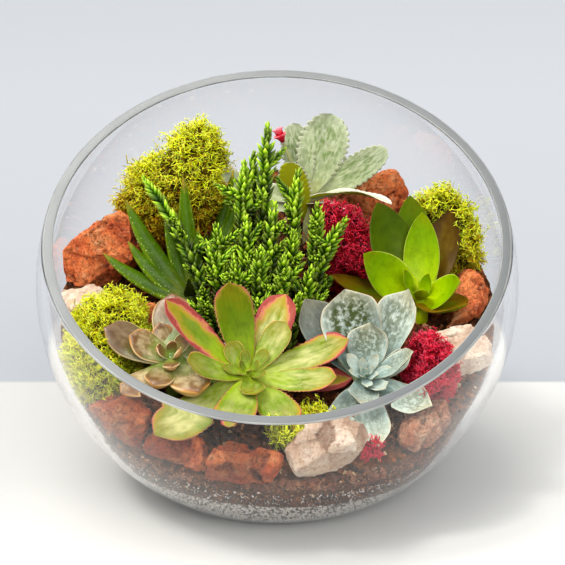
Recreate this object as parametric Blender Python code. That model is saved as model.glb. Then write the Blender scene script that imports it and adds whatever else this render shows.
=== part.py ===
"""A succulent dish garden in a slant-cut glass bowl.

Metres, +Z up. The origin is the middle of the bowl's flat foot, and the rim is low towards -Y.
The bowl holds gravel, a sloping bed of soil, stones, cushions of moss and seven kinds of plant.
Each piece is one closed solid: a plant's leaves are joined to the stem that stands in its hole.
"""

import math
import random
from collections import namedtuple

import bmesh
import bpy
from mathutils import Matrix, Vector
from mathutils.bvhtree import BVHTree

MM = 0.001
GOLDEN_ANGLE = math.radians(137.508)

# The bowl: a blown glass ball, cut off by a slanting plane and flattened underneath.
BOWL_RADIUS = 101.6 * MM
WALL = 4.2 * MM
FOOT_RADIUS = 47.0 * MM
BASE_THICKNESS = 6.0 * MM
RIM_TILT = math.radians(30.0)
RIM_OFFSET = 30.8 * MM  # from the ball's centre to the cut, square to the cut
RIM_CHAMFER = 0.6 * MM
BOWL_SIDES = 36
BOWL_RINGS = 10
CENTRE = Vector((0, 0, math.sqrt(BOWL_RADIUS**2 - FOOT_RADIUS**2)))

# The filling.
GAP = 0.3 * MM
GRAVEL_TOP = 26.0 * MM
SOIL_TILT = math.radians(24.2)
SOIL_MIDDLE = 70.0 * MM  # height of the soil's surface on the bowl's axis
FILL_RADIUS = BOWL_RADIUS - WALL - 1.0 * MM  # what is packed against the wall
ROOM_RADIUS = BOWL_RADIUS - WALL - 1.3 * MM  # what only leans on the wall
ROOT_DEPTH = 6.0 * MM
HOLE_SLACK = 0.3 * MM
HOLE_SIDES = 8

# name: (red, green, blue, roughness)
COLOURS = {
    "glass": (0.93, 0.97, 0.96, 0.03),
    "gravel": (0.55, 0.54, 0.52, 0.9),
    "soil": (0.10, 0.065, 0.04, 0.95),
    "red_stone": (0.50, 0.14, 0.05, 0.9),
    "pale_stone": (0.72, 0.50, 0.38, 0.9),
    "green_moss": (0.42, 0.48, 0.03, 0.95),
    "red_moss": (0.32, 0.01, 0.02, 0.95),
    "aeonium": (0.33, 0.50, 0.07, 0.45),
    "echeveria": (0.35, 0.45, 0.42, 0.6),
    "green_rosette": (0.20, 0.42, 0.03, 0.4),
    "ghost_plant": (0.36, 0.30, 0.22, 0.55),
    "haworthia": (0.06, 0.16, 0.03, 0.5),
    "kalanchoe": (0.42, 0.47, 0.38, 0.8),
    "flower": (0.60, 0.02, 0.06, 0.6),
    "crassula": (0.10, 0.30, 0.03, 0.5),
}

# How a kind of leaf is shaped. Widths and thicknesses are shares of the leaf's width.
#   neck: width where it leaves the stem    peak: where along the leaf it is widest
#   point: 0.5 is a round end, 1 or more a pointed one    cup: how far its edges stand up
#   curl: how far its middle sags below the line from foot to tip, as a share of its length
#   teeth: scallops along each edge
LeafForm = namedtuple("LeafForm", "neck peak point thickness cup curl sections sides teeth")
SPOON = LeafForm(0.32, 0.66, 0.55, 0.15, 0.10, 0.07, 6, 6, 0)
FAT_SPOON = LeafForm(0.45, 0.62, 0.70, 0.34, 0.10, 0.08, 6, 6, 0)
SCOOP = LeafForm(0.40, 0.66, 0.50, 0.17, 0.14, 0.09, 5, 6, 0)
LANCE = LeafForm(0.50, 0.48, 0.80, 0.14, 0.16, 0.10, 6, 6, 0)
SPIKE = LeafForm(0.90, 0.22, 0.80, 0.48, 0.05, 0.06, 6, 6, 0)
SCALLOPED = LeafForm(0.16, 0.62, 0.45, 0.07, 0.06, 0.05, 9, 6, 4)

Leaf = namedtuple("Leaf", "azimuth rise length width")  # degrees and millimetres

# Each rosette: where its leaves meet, the way it faces, its leaves and its small inner ones.
Rosette = namedtuple("Rosette", "at tilt form colour stem_radius core_radius leaves heart")
Heart = namedtuple("Heart", "count longest shortest width_share rise_low rise_high")
ROSETTES = {
    "aeonium": Rosette(
        at=(-12, -44, 66),
        tilt=30,
        form=SPOON,
        colour="aeonium",
        stem_radius=3.2,
        core_radius=6.0,
        leaves=[
            Leaf(120, 67, 40, 17),
            Leaf(52, 48, 38, 17),
            Leaf(30, 48, 27, 13),
            Leaf(8, 20, 44, 16),
            Leaf(-20, 5, 38, 13),
            Leaf(0, -2, 43, 12),
            Leaf(-78, -4, 20, 12),
            Leaf(-100, -10, 37, 18),
            Leaf(-56, -14, 36, 16),
            Leaf(-152, 24, 30, 13),
            Leaf(168, 42, 46, 14),
            Leaf(-142, -13, 44, 18),
            Leaf(-178, -8, 26, 13),
            Leaf(150, 52, 18, 11),
        ],
        heart=Heart(5, 12, 7, 0.55, 48, 76),
    ),
    "echeveria": Rosette(
        at=(36, -42, 64),
        tilt=38,
        form=SCOOP,
        colour="echeveria",
        stem_radius=3.0,
        core_radius=6.0,
        leaves=[
            Leaf(116, 54, 38, 22),
            Leaf(46, 48, 42, 18),
            Leaf(84, 46, 26, 16),
            Leaf(-4, 14, 26, 14),
            Leaf(142, 40, 42, 18),
            Leaf(90, 34, 40, 14),
            Leaf(-62, 6, 17, 8),
            Leaf(-32, 22, 31, 12),
            Leaf(-46, -2, 35, 13),
            Leaf(-96, -8, 26, 13),
            Leaf(-84, -26, 35, 14),
            Leaf(134, 32, 17, 10),
            Leaf(-120, -22, 30, 12),
        ],
        heart=Heart(6, 12, 6, 0.55, 40, 78),
    ),
    "green_rosette": Rosette(
        at=(61, 6, 80),
        tilt=24,
        form=LANCE,
        colour="green_rosette",
        stem_radius=3.4,
        core_radius=6.0,
        leaves=[
            Leaf(84, 72, 38, 15.5),
            Leaf(142, 60, 46, 22),
            Leaf(99, 62, 46, 19),
            Leaf(58, 52, 44, 17),
            Leaf(172, 42, 36, 14),
            Leaf(136, 50, 28, 13),
            Leaf(-150, 60, 18, 9),
            Leaf(-48, 32, 26, 12),
            Leaf(-50, 14, 30, 13),
            Leaf(-176, 20, 41, 12),
        ],
        heart=Heart(2, 14, 9, 0.5, 62, 72),
    ),
    "ghost_plant": Rosette(
        at=(-43, -38, 71),
        tilt=30,
        form=FAT_SPOON,
        colour="ghost_plant",
        stem_radius=2.8,
        core_radius=5.0,
        leaves=[
            Leaf(178, 27, 31, 16),
            Leaf(92, 44, 30, 17),
            Leaf(120, 52, 15, 8),
            Leaf(-172, 20, 23, 12),
            Leaf(30, 24, 19, 10),
            Leaf(-62, -14, 26, 14),
            Leaf(-110, -8, 22, 12),
            Leaf(-130, -12, 29, 12),
        ],
        heart=Heart(4, 9, 6, 0.6, 40, 70),
    ),
    "haworthia": Rosette(
        at=(-37, 8, 81),
        tilt=14,
        form=SPIKE,
        colour="haworthia",
        stem_radius=3.0,
        core_radius=5.0,
        leaves=[
            Leaf(172, 26, 46, 8),
            Leaf(166, 40, 36, 7),
            Leaf(153, 54, 50, 9),
            Leaf(98, 72, 51, 8),
            Leaf(112, 66, 37, 7),
            Leaf(72, 70, 31, 6),
            Leaf(134, 66, 38, 7),
        ],
        heart=Heart(2, 16, 12, 0.35, 60, 75),
    ),
    "haworthia_back": Rosette(
        at=(-31, 27, 90),
        tilt=10,
        form=SPIKE,
        colour="haworthia",
        stem_radius=2.4,
        core_radius=3.6,
        leaves=[
            Leaf(52, 66, 42, 7),
            Leaf(30, 60, 38, 7),
            Leaf(160, 58, 24, 6),
        ],
        heart=Heart(1, 15, 15, 0.35, 80, 80),
    ),
}

# The kalanchoe's leaves stand on one upright stem: millimetres up it, the way the leaf faces,
# then the leaf.
FORWARD = (0, -0.94, 0.34)
BACKWARD = (0, 0.94, -0.34)
UPWARD = (0, 0.34, 0.94)
KALANCHOE_AT = (13, 50)
KALANCHOE_HEIGHT = 21.0 * MM
KALANCHOE_RADIUS = 2.0 * MM
KALANCHOE_LEAVES = [
    (19, FORWARD, Leaf(50, 64, 39, 23)),
    (18, FORWARD, Leaf(10, 27, 41, 16)),
    (9, BACKWARD, Leaf(-152, 69, 30, 14)),
    (20, FORWARD, Leaf(120, 65, 33, 15)),
    (16, UPWARD, Leaf(-40, 2, 20, 12)),
    (15, UPWARD, Leaf(-14, 4, 38, 14)),
    (18, UPWARD, Leaf(176, 18, 41, 12)),
    (13, UPWARD, Leaf(-168, 22, 31, 11)),
]
FLOWER_STALK = Leaf(162, 66, 27, 1.6)
FLOWER_RADIUS = 3.4 * MM

# The crassula's stems: where each stands on the soil (x, y) and its tip (x, y, z), millimetres.
CRASSULA_RADIUS = 4.3 * MM
CRASSULA_CORE = 1.7 * MM
CRASSULA_PITCH = 3.5 * MM
CRASSULA_SIDES = 6
CRASSULA_STEMS = [
    ((-6, 17), (-4, 20, 154)),
    ((-15, 15), (-14, 17, 138)),
    ((6, 15), (9, 18, 134)),
    ((-4, 4), (-1, 7, 123)),
    ((14, 3), (29, 5, 117)),
    ((16, 13), (17, 13, 121)),
    ((-23, 8), (-26, 9, 113)),
    ((-23, -2), (-29, -3, 108)),
    ((-8, -6), (-7, -9, 109)),
    ((1, -7), (3, -10, 106)),
    ((-16, -6), (-18, -8, 104)),
    ((11, -6), (14, -8, 99)),
    ((-30, -1), (-57, 26, 128)),
    ((-26, -13), (-32, -20, 90)),
    ((-17, -15), (-20, -19, 95)),
    ((5, -16), (9, -20, 92)),
    ((-7, -16), (-8, -22, 90)),
    ((-13, 5), (-13, 7, 117)),
    ((5, 5), (7, 3, 112)),
    ((-12, 25), (-10, 29, 139)),
]

# Stones: the middle and the half sizes in millimetres, the turn about the Y axis in degrees, and
# a seed for the chips.
Stone = namedtuple("Stone", "at half turn colour seed")
STONE_CHIPS = 15
STONES = {
    "red_stone_back_left": Stone((-75, 30, 94), (22, 13, 13), -38, "red_stone", 3),
    "red_stone_back_right": Stone((39, 66, 105), (21, 9, 14), -22, "red_stone", 8),
    "red_stone_right": Stone((85, 10, 84), (9, 14, 17), 10, "red_stone", 5),
    "red_stone_front": Stone((-13, -77, 41), (19, 7, 8), 6, "red_stone", 11),
    "red_stone_front_left": Stone((-38, -66, 42), (14, 8, 10), 12, "red_stone", 14),
    "red_stone_left": Stone((-64, -54, 51), (12, 10, 11), 20, "red_stone", 21),
    "red_stone_front_right": Stone((60, -61, 48), (13, 9, 10), -20, "red_stone", 24),
    "red_stone_small": Stone((-54, -2, 74), (6, 6, 7), 0, "red_stone", 28),
    "pale_stone_left": Stone((-81, 2, 79), (10, 11, 8), -14, "pale_stone", 31),
    "pale_stone_right": Stone((78, -24, 70), (12, 9, 8), -20, "pale_stone", 36),
    "pale_stone_front": Stone((20, -79, 51), (17, 7, 12), -18, "pale_stone", 41),
    "pale_stone_middle": Stone((-27, -22, 66), (6, 5, 7), 0, "pale_stone", 45),
}

# Moss: the middle and half sizes of the balls that make up each cushion, millimetres.
Moss = namedtuple("Moss", "balls points colour seed")
MOSS_SPIKE = 0.11
MOSS_CLEARANCE = 1.6 * MM
MOSSES = {
    "moss_back_left": Moss(
        [((-36, 44, 124), (18, 15, 27)), ((-54, 42, 112), (18, 15, 24))], 270, "green_moss", 51
    ),
    "moss_left": Moss(
        [((-70, -16, 74), (18, 25, 18)), ((-77, -38, 66), (13, 22, 14))], 260, "green_moss", 52
    ),
    "moss_right": Moss(
        [((80, 31, 104), (13, 13, 19)), ((70, 34, 114), (12, 11, 14))], 220, "green_moss", 53
    ),
    "moss_front": Moss([((4, -66, 50), (14, 14, 12))], 140, "green_moss", 54),
    "red_moss_middle": Moss(
        [((27, 28, 97), (14, 12, 21)), ((34, 15, 88), (12, 13, 15))], 200, "red_moss", 55
    ),
    "red_moss_right": Moss([((64, -42, 67), (15, 22, 17))], 220, "red_moss", 56),
    "red_moss_front": Moss([((42, -73, 42), (6, 6, 7))], 60, "red_moss", 57),
}


def mm(*values):
    """A point or size given in millimetres, in metres."""
    return Vector(values) * MM


def clear_scene():
    for obj in list(bpy.data.objects):
        bpy.data.objects.remove(obj)


def material(name):
    """The Principled material of one of the COLOURS."""
    found = bpy.data.materials.get(name)
    if found:
        return found
    made = bpy.data.materials.new(name)
    made.use_nodes = True
    shader = made.node_tree.nodes["Principled BSDF"]
    red, green, blue, roughness = COLOURS[name]
    shader.inputs["Base Color"].default_value = (red, green, blue, 1)
    shader.inputs["Roughness"].default_value = roughness
    shader.inputs["Metallic"].default_value = 0
    if name == "glass":
        shader.inputs["Transmission Weight"].default_value = 1
    return made


def solid(name, bm, colour, smooth_degrees=35):
    """An object made from the closed mesh bm, which is freed."""
    bmesh.ops.recalc_face_normals(bm, faces=bm.faces)
    mesh = bpy.data.meshes.new(name)
    bm.to_mesh(mesh)
    bm.free()
    mesh.shade_smooth()
    mesh.set_sharp_from_angle(angle=math.radians(smooth_degrees))
    obj = bpy.data.objects.new(name, mesh)
    obj.data.materials.append(material(colour))
    bpy.context.scene.collection.objects.link(obj)
    return obj


def skin(rings, tip=None):
    """A closed mesh over rings of points, each with the same count. A tip point closes the last."""
    bm = bmesh.new()
    rows = [[bm.verts.new(point) for point in ring] for ring in rings]
    count = len(rows[0])
    for low, high in zip(rows, rows[1:]):
        for i in range(count):
            j = (i + 1) % count
            bm.faces.new((low[i], low[j], high[j], high[i]))
    bm.faces.new(rows[0][::-1])
    if tip is None:
        bm.faces.new(rows[-1])
    else:
        end = bm.verts.new(tip)
        for i in range(count):
            bm.faces.new((rows[-1][i], rows[-1][(i + 1) % count], end))
    bmesh.ops.triangulate(bm, faces=[f for f in bm.faces if len(f.verts) == 4])
    return bm


def fuse(core, others):
    """Joins the other objects to core in one Boolean union, applies it and removes them."""
    group = bpy.data.collections.new(core.name + "_pieces")
    for obj in others:
        bpy.context.scene.collection.objects.unlink(obj)
        group.objects.link(obj)
    union = core.modifiers.new("union", "BOOLEAN")
    union.operation = "UNION"
    union.operand_type = "COLLECTION"
    union.collection = group
    union.solver = "MANIFOLD"  # the exact one is far slower here and leaves a stray flat body
    apply_modifiers(core)
    for obj in others:
        bpy.data.objects.remove(obj)
    bpy.data.collections.remove(group)
    return core


def apply_modifiers(obj):
    """Replaces the object's mesh by what its modifiers make of it."""
    graph = bpy.context.evaluated_depsgraph_get()
    made = bpy.data.meshes.new_from_object(obj.evaluated_get(graph), depsgraph=graph)
    obj.modifiers.clear()
    obj.data = made


# The bowl and its filling


def slant_normal(tilt):
    """The upward normal of a plane that slopes down towards -Y."""
    return Vector((0, -math.sin(tilt), math.cos(tilt)))


def ball_point(radius, polar, azimuth):
    """A point on a ball about CENTRE. polar is measured from its lowest point."""
    across = math.sin(polar)
    return CENTRE + radius * Vector(
        (across * math.cos(azimuth), across * math.sin(azimuth), -math.cos(polar))
    )


def polar_at_slant(radius, tilt, offset, azimuth):
    """Where the ball meets a plane sloping down towards -Y, offset from CENTRE along its normal."""
    across = -math.sin(azimuth) * math.sin(tilt)
    down = -math.cos(tilt)
    turned = math.atan2(across, down) % (2 * math.pi)
    return turned - math.acos(offset / (radius * math.hypot(across, down)))


def polar_at_height(radius, height):
    return math.acos((CENTRE.z - height) / radius)


def bowl_ring(radius, polar_of):
    """One ring round the bowl. polar_of gives its polar angle at each azimuth."""
    turns = [2 * math.pi * i / BOWL_SIDES for i in range(BOWL_SIDES)]
    return [ball_point(radius, polar_of(a), a) for a in turns]


def bowl_wall(radius, low, tilt, offset, count):
    """Rings up a ball from the height low to a slanting cut."""
    start = polar_at_height(radius, low)

    def at(share):
        return lambda a: start + share * (polar_at_slant(radius, tilt, offset, a) - start)

    return [bowl_ring(radius, at(i / count)) for i in range(count + 1)]


def build_bowl():
    inner = BOWL_RADIUS - WALL
    edge = RIM_OFFSET - RIM_CHAMFER
    outside = bowl_wall(BOWL_RADIUS, 0, RIM_TILT, edge, BOWL_RINGS)
    inside = bowl_wall(inner, BASE_THICKNESS, RIM_TILT, edge, BOWL_RINGS)
    rim = [
        bowl_ring(radius, lambda a, r=radius: polar_at_slant(r, RIM_TILT, RIM_OFFSET, a))
        for radius in (BOWL_RADIUS - RIM_CHAMFER, inner + RIM_CHAMFER)
    ]
    return solid("glass_bowl", skin(outside + rim + inside[::-1]), "glass")


def build_gravel():
    low = BASE_THICKNESS + GAP
    turns = [low + (GRAVEL_TOP - low) * i / 4 for i in range(5)]
    rings = [
        bowl_ring(FILL_RADIUS, lambda a, z=z: polar_at_height(FILL_RADIUS, z)) for z in turns
    ]
    return solid("drainage_gravel", skin(rings), "gravel")


def soil_offset(lift=0.0):
    """How far the soil's surface, raised by lift, lies from CENTRE along its normal."""
    normal = slant_normal(SOIL_TILT)
    return normal.dot(Vector((0, 0, SOIL_MIDDLE)) - CENTRE) + lift


def soil_height(y):
    return SOIL_MIDDLE + math.tan(SOIL_TILT) * y


def build_soil():
    rings = bowl_wall(FILL_RADIUS, GRAVEL_TOP + GAP, SOIL_TILT, soil_offset(), 6)
    return solid("potting_soil", skin(rings), "soil")


def dig_holes(soil, holes):
    """Cuts a plain round hole in the soil for each stem: (x, y, stem radius)."""
    cutters = []
    for x, y, radius in holes:
        bottom = soil_height(y) - ROOT_DEPTH - HOLE_SLACK
        top = soil_height(y) + ROOT_DEPTH
        wide = radius + HOLE_SLACK
        rings = [circle(Vector((x, y, z)), Vector((0, 0, 1)), wide, HOLE_SIDES) for z in (bottom, top)]
        cutters.append(solid("hole", skin(rings), "soil"))
    first, rest = cutters[0], cutters[1:]
    fuse_apart(first, rest)
    cut = soil.modifiers.new("holes", "BOOLEAN")
    cut.operation = "DIFFERENCE"
    cut.object = first
    cut.solver = "EXACT"
    apply_modifiers(soil)
    bpy.data.objects.remove(first)


def fuse_apart(first, rest):
    """Puts the meshes of objects that lie apart into the first one."""
    bm = bmesh.new()
    for obj in [first, *rest]:
        bm.from_mesh(obj.data)
    bm.to_mesh(first.data)
    bm.free()
    for obj in rest:
        bpy.data.objects.remove(obj)


# Plants


def circle(middle, axis, radius, sides, turn=0.0):
    """Points round a circle square to axis, the right way round for skin()."""
    side = axis.orthogonal().normalized()
    other = axis.normalized().cross(side)
    angles = [turn + 2 * math.pi * i / sides for i in range(sides)]
    return [middle + radius * (math.cos(a) * side + math.sin(a) * other) for a in angles]


def direction(azimuth, rise):
    """The unit vector at these angles, in degrees, from +X and from level."""
    a, r = math.radians(azimuth), math.radians(rise)
    return Vector((math.cos(r) * math.cos(a), math.cos(r) * math.sin(a), math.sin(r)))


def leaf_width(form, along):
    """The share of its full width that a leaf has at a share of its length."""
    if along < form.peak:
        return form.neck + (1 - form.neck) * math.sin(0.5 * math.pi * along / form.peak) ** 1.3
    return (1 - ((along - form.peak) / (1 - form.peak)) ** 2) ** form.point


def leaf_thickness(form, along):
    return (1 - 0.55 * along) * (1 - along**6) + 0.12


def scallop(form, along, section):
    """Sections near the end of a toothed leaf stand out and in by turns."""
    if form.teeth == 0 or along < 0.28:
        return 1.0
    return 1.0 if section % 2 else 0.84


def leaf_mesh(foot, way, face, length, width, form):
    """One leaf from its foot along way, its upper side turned towards face."""
    over = (face - face.dot(way) * way).normalized()
    side = over.cross(way)
    rings = []
    for section in range(form.sections):
        along = section / form.sections
        half = 0.5 * width * leaf_width(form, along) * scallop(form, along, section)
        thick = max(0.5 * width * form.thickness * leaf_thickness(form, along), 0.35 * MM)
        sag = form.curl * length * 4 * along * (1 - along)
        middle = foot + way * (length * along) - over * sag
        ring = []
        for i in range(form.sides):
            angle = 2 * math.pi * i / form.sides
            x, y = math.cos(angle), math.sin(angle)
            lift = form.cup * width * leaf_width(form, along) * x * x
            ring.append(middle + side * (half * x) + over * (thick * y + lift))
        rings.append(ring)
    return skin(rings, foot + way * length)


def leaf_object(foot, leaf, face, form, colour):
    bm = leaf_mesh(
        foot, direction(leaf.azimuth, leaf.rise), face, leaf.length * MM, leaf.width * MM, form
    )
    return solid("leaf", bm, colour)


def heart_leaves(rosette, axis):
    """The small leaves round a rosette's growing point, each turned by the golden angle."""
    heart = rosette.heart
    side = axis.orthogonal().normalized()
    made = []
    for i in range(heart.count):
        share = i / max(heart.count - 1, 1)
        length = heart.longest + share * (heart.shortest - heart.longest)
        rise = math.radians(heart.rise_low + share * (heart.rise_high - heart.rise_low))
        around = Matrix.Rotation(i * GOLDEN_ANGLE, 3, axis) @ side
        way = (math.cos(rise) * around + math.sin(rise) * axis).normalized()
        made.append((way, length * MM, length * heart.width_share * MM))
    return made


def turned(middle_line, radii, sides):
    """A round body along a list of points, with one radius at each, closed by flat ends."""
    rings = []
    for i, (point, radius) in enumerate(zip(middle_line, radii)):
        before = middle_line[max(i - 1, 0)]
        after = middle_line[min(i + 1, len(middle_line) - 1)]
        rings.append(circle(point, after - before, radius, sides))
    return skin(rings)


def build_rosette(name, rosette):
    at = mm(*rosette.at)
    axis = slant_normal(math.radians(rosette.tilt))
    stem, core = rosette.stem_radius * MM, rosette.core_radius * MM
    bottom = Vector((at.x, at.y, soil_height(at.y) - ROOT_DEPTH))
    neck = Vector((at.x, at.y, max(at.z - 1.2 * core, soil_height(at.y) + 0.6 * stem)))
    line = [bottom, neck, at - 0.5 * core * axis, at + 0.35 * core * axis, at + 0.9 * core * axis]
    colour, radii = rosette.colour, [stem, stem, core * 0.95, core * 0.8, core * 0.35]
    body = solid(name, turned(line, radii, 8), colour)
    leaves = [leaf_object(at, leaf, axis, rosette.form, colour) for leaf in rosette.leaves]
    small = rosette.form._replace(sections=4, sides=6)
    for way, length, width in heart_leaves(rosette, axis):
        bm = leaf_mesh(at + 0.4 * core * axis, way, axis, length, width, small)
        leaves.append(solid("leaf", bm, colour))
    return fuse(body, leaves), (at.x, at.y, stem)


def build_kalanchoe():
    x, y = KALANCHOE_AT[0] * MM, KALANCHOE_AT[1] * MM
    soil = soil_height(y)
    levels = [soil - ROOT_DEPTH, soil, soil + KALANCHOE_HEIGHT]
    line = [Vector((x, y, z)) for z in levels]
    body = solid(
        "kalanchoe",
        turned(line, [KALANCHOE_RADIUS, KALANCHOE_RADIUS, 0.8 * KALANCHOE_RADIUS], 8),
        "kalanchoe",
    )
    pieces = []
    for up, facing, leaf in KALANCHOE_LEAVES:
        foot = Vector((x, y, soil + up * MM))
        pieces.append(leaf_object(foot, leaf, Vector(facing), SCALLOPED, "kalanchoe"))
    top = line[-1] - Vector((0, 0, 2 * MM))
    way = direction(FLOWER_STALK.azimuth, FLOWER_STALK.rise)
    end = top + way * FLOWER_STALK.length * MM
    half = 0.5 * FLOWER_STALK.width * MM
    pieces.append(solid("stalk", turned([top, end], [half, half], 6), "kalanchoe"))
    return fuse(body, pieces), build_flower(end, way), (x, y, KALANCHOE_RADIUS)


def build_flower(stalk_end, way):
    """A closed red bud with four ridges, just clear of the stalk that carries it."""
    rings = []
    for share, wide in ((0, 0.35), (0.25, 0.85), (0.55, 1.0), (0.8, 0.7)):
        middle = stalk_end + way * (GAP + 2 * FLOWER_RADIUS * share)
        round_points = circle(middle, way, FLOWER_RADIUS * wide, 8)
        rings.append([p if i % 2 else middle + 0.8 * (p - middle) for i, p in enumerate(round_points)])
    tip = stalk_end + way * (GAP + 2.1 * FLOWER_RADIUS)
    return solid("kalanchoe_flower", skin(rings, tip), "flower")


def build_crassula_stem(number, foot, tip):
    """A stem covered by whorls of scale leaves, which stand out and up by turns."""
    ground = Vector((foot[0] * MM, foot[1] * MM, soil_height(foot[1] * MM)))
    end = mm(*tip)
    upright = ground + Vector((0, 0, 0.55 * (end.z - ground.z)))
    root = ground - Vector((0, 0, ROOT_DEPTH))
    collar = ground + Vector((0, 0, 0.5 * CRASSULA_PITCH))
    up = Vector((0, 0, 1))
    rings = [circle(point, up, CRASSULA_CORE, CRASSULA_SIDES) for point in (root, collar)]
    length = (end - ground).length
    count = round(length / CRASSULA_PITCH)
    for i in range(1, count):
        t = i / count
        middle = (1 - t) ** 2 * ground + 2 * t * (1 - t) * upright + t * t * end
        way = ((1 - t) * (upright - ground) + t * (end - upright)).normalized()
        slim = 1.0 - 0.45 * max(0.0, t - 0.75) / 0.25
        ring = circle(middle, way, CRASSULA_CORE, CRASSULA_SIDES)
        out = circle(middle + way * (0.75 * CRASSULA_PITCH), way, CRASSULA_RADIUS * slim, CRASSULA_SIDES)
        rings.append([out[k] if (k + i) % 2 else ring[k] for k in range(CRASSULA_SIDES)])
    name = f"crassula_stem_{number:02d}"
    return solid(name, skin(rings, end), "crassula"), (ground.x, ground.y, CRASSULA_CORE)


# Stones and moss


def ellipsoid_support(half, normal):
    return math.sqrt(sum((h * n) ** 2 for h, n in zip(half, normal)))


def keep_below(bm, point, normal):
    """Cuts away what lies beyond the plane, and closes the cut."""
    cut = bmesh.ops.bisect_plane(
        bm,
        geom=bm.verts[:] + bm.edges[:] + bm.faces[:],
        dist=0.01 * MM,
        plane_co=point,
        plane_no=normal,
        clear_outer=True,
    )
    edges = [e for e in cut["geom_cut"] if isinstance(e, bmesh.types.BMEdge)]
    if edges:
        bmesh.ops.contextual_create(bm, geom=edges)


def stone_borders(name):
    """The planes that keep a stone off the soil, the glass and the other stones."""
    at = mm(*STONES[name].at)
    borders = [(Vector((0, 0, soil_height(0) + 1.15 * GAP)), -slant_normal(SOIL_TILT))]
    outward = (at - CENTRE).normalized()
    side = outward.orthogonal().normalized()
    for turn in range(8):
        lean = Matrix.Rotation(turn * math.pi / 4, 3, outward) @ side
        way = (outward + 0.2 * lean).normalized()
        borders.append((CENTRE + ROOM_RADIUS * way, way))
    borders.append((CENTRE + ROOM_RADIUS * outward, outward))
    for other, stone in STONES.items():
        if other == name:
            continue
        away = mm(*stone.at) - at
        mine = ellipsoid_support(mm(*STONES[name].half), away.normalized())
        theirs = ellipsoid_support(mm(*stone.half), away.normalized())
        if away.length < 1.5 * (mine + theirs):
            share = mine / (mine + theirs)
            borders.append((at + away * share - away.normalized() * GAP, away.normalized()))
    return borders


def build_stone(name, stone):
    """A block chipped flat on many sides, within its borders."""
    draw = random.Random(stone.seed)
    half = mm(*stone.half)
    at = mm(*stone.at)
    turn = Matrix.Rotation(math.radians(stone.turn), 3, "Y")
    bm = bmesh.new()
    bmesh.ops.create_cube(bm, size=2.0)
    for vert in bm.verts:
        vert.co = at + turn @ Vector([c * h for c, h in zip(vert.co, half)])
    for _ in range(STONE_CHIPS):
        normal = Vector([draw.gauss(0, 1) for _ in range(3)]).normalized()
        reach = ellipsoid_support(half, normal) * draw.uniform(0.84, 0.98)
        keep_below(bm, at + turn @ normal * reach, turn @ normal)
    for point, normal in stone_borders(name):
        keep_below(bm, point, normal)
    bmesh.ops.remove_doubles(bm, verts=bm.verts, dist=0.2 * MM)
    bmesh.ops.triangulate(bm, faces=bm.faces)
    return solid(name, bm, stone.colour, 10)


def ball_exit(start, way, middle, half):
    """How far a ray goes before it last leaves an ellipsoid, or 0 if it misses."""
    s = Vector([(a - b) / h for a, b, h in zip(start, middle, half)])
    w = Vector([a / h for a, h in zip(way, half)])
    a, b, c = w.dot(w), s.dot(w), s.dot(s) - 1
    root = b * b - a * c
    return max(0.0, (-b + math.sqrt(root)) / a) if root > 0 else 0.0


def room_exit(start, way):
    """How far a ray goes before it comes to the glass or the soil."""
    reach = ball_exit(start, way, CENTRE, (ROOM_RADIUS,) * 3)
    normal = slant_normal(SOIL_TILT)
    height = normal.dot(start - CENTRE) - soil_offset(1.2 * GAP)
    falling = -normal.dot(way)
    return min(reach, height / falling) if falling > 1e-6 else reach


def free_way(tree, start, way, reach):
    """How far a ray gets before it comes within MOSS_CLEARANCE of another piece."""
    done = 0.0
    while done < reach:
        near = tree.find_nearest(start + way * done)[3]
        if near < MOSS_CLEARANCE:
            return max(done - 0.3 * MM, 0.5 * MM)
        done += max(near - MOSS_CLEARANCE, 0.15 * MM)
    return reach


def build_moss(name, moss, tree):
    """A bristling cushion, grown out from its middle until it meets what is round it."""
    draw = random.Random(moss.seed)
    balls = [(mm(*at), mm(*half)) for at, half in moss.balls]
    start = sum((at for at, _ in balls), Vector()) / len(balls)
    bm = bmesh.new()
    for i in range(moss.points):
        up = 1 - 2 * (i + 0.5) / moss.points
        turn = i * GOLDEN_ANGLE
        flat = math.sqrt(1 - up * up)
        bm.verts.new((flat * math.cos(turn), flat * math.sin(turn), up))
    bmesh.ops.convex_hull(bm, input=bm.verts)
    for vert in bm.verts:
        way = vert.co.normalized()
        reach = max(ball_exit(start, way, at, half) for at, half in balls)
        reach *= 1 + draw.uniform(-MOSS_SPIKE, MOSS_SPIKE)
        vert.co = start + way * free_way(tree, start, way, min(reach, room_exit(start, way)))
    draw_back(bm, start, tree)
    return solid(name, bm, moss.colour, 20)


def draw_back(bm, start, tree):
    """Pulls in the corners of each face that still touches another piece."""
    for _ in range(40):
        bm.faces.ensure_lookup_table()
        touching = {pair[0] for pair in BVHTree.FromBMesh(bm).overlap(tree)}
        if not touching:
            return
        for vert in {v for i in touching for v in bm.faces[i].verts}:
            vert.co += (start - vert.co) * 0.06


def tree_of(objects):
    """A search tree over the surfaces of these objects."""
    points, faces = [], []
    for obj in objects:
        first = len(points)
        points += [v.co.copy() for v in obj.data.vertices]
        faces += [[first + i for i in f.vertices] for f in obj.data.polygons]
    return BVHTree.FromPolygons(points, faces)


def build():
    clear_scene()
    build_bowl()
    build_gravel()
    soil = build_soil()
    placed, holes = [], []
    for name, rosette in ROSETTES.items():
        obj, hole = build_rosette(name, rosette)
        placed.append(obj)
        holes.append(hole)
    kalanchoe, flower, hole = build_kalanchoe()
    placed += [kalanchoe, flower]
    holes.append(hole)
    for number, (foot, tip) in enumerate(CRASSULA_STEMS, 1):
        obj, hole = build_crassula_stem(number, foot, tip)
        placed.append(obj)
        holes.append(hole)
    dig_holes(soil, holes)
    placed += [build_stone(name, stone) for name, stone in STONES.items()]
    for name, moss in MOSSES.items():
        placed.append(build_moss(name, moss, tree_of(placed)))


build()
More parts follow.
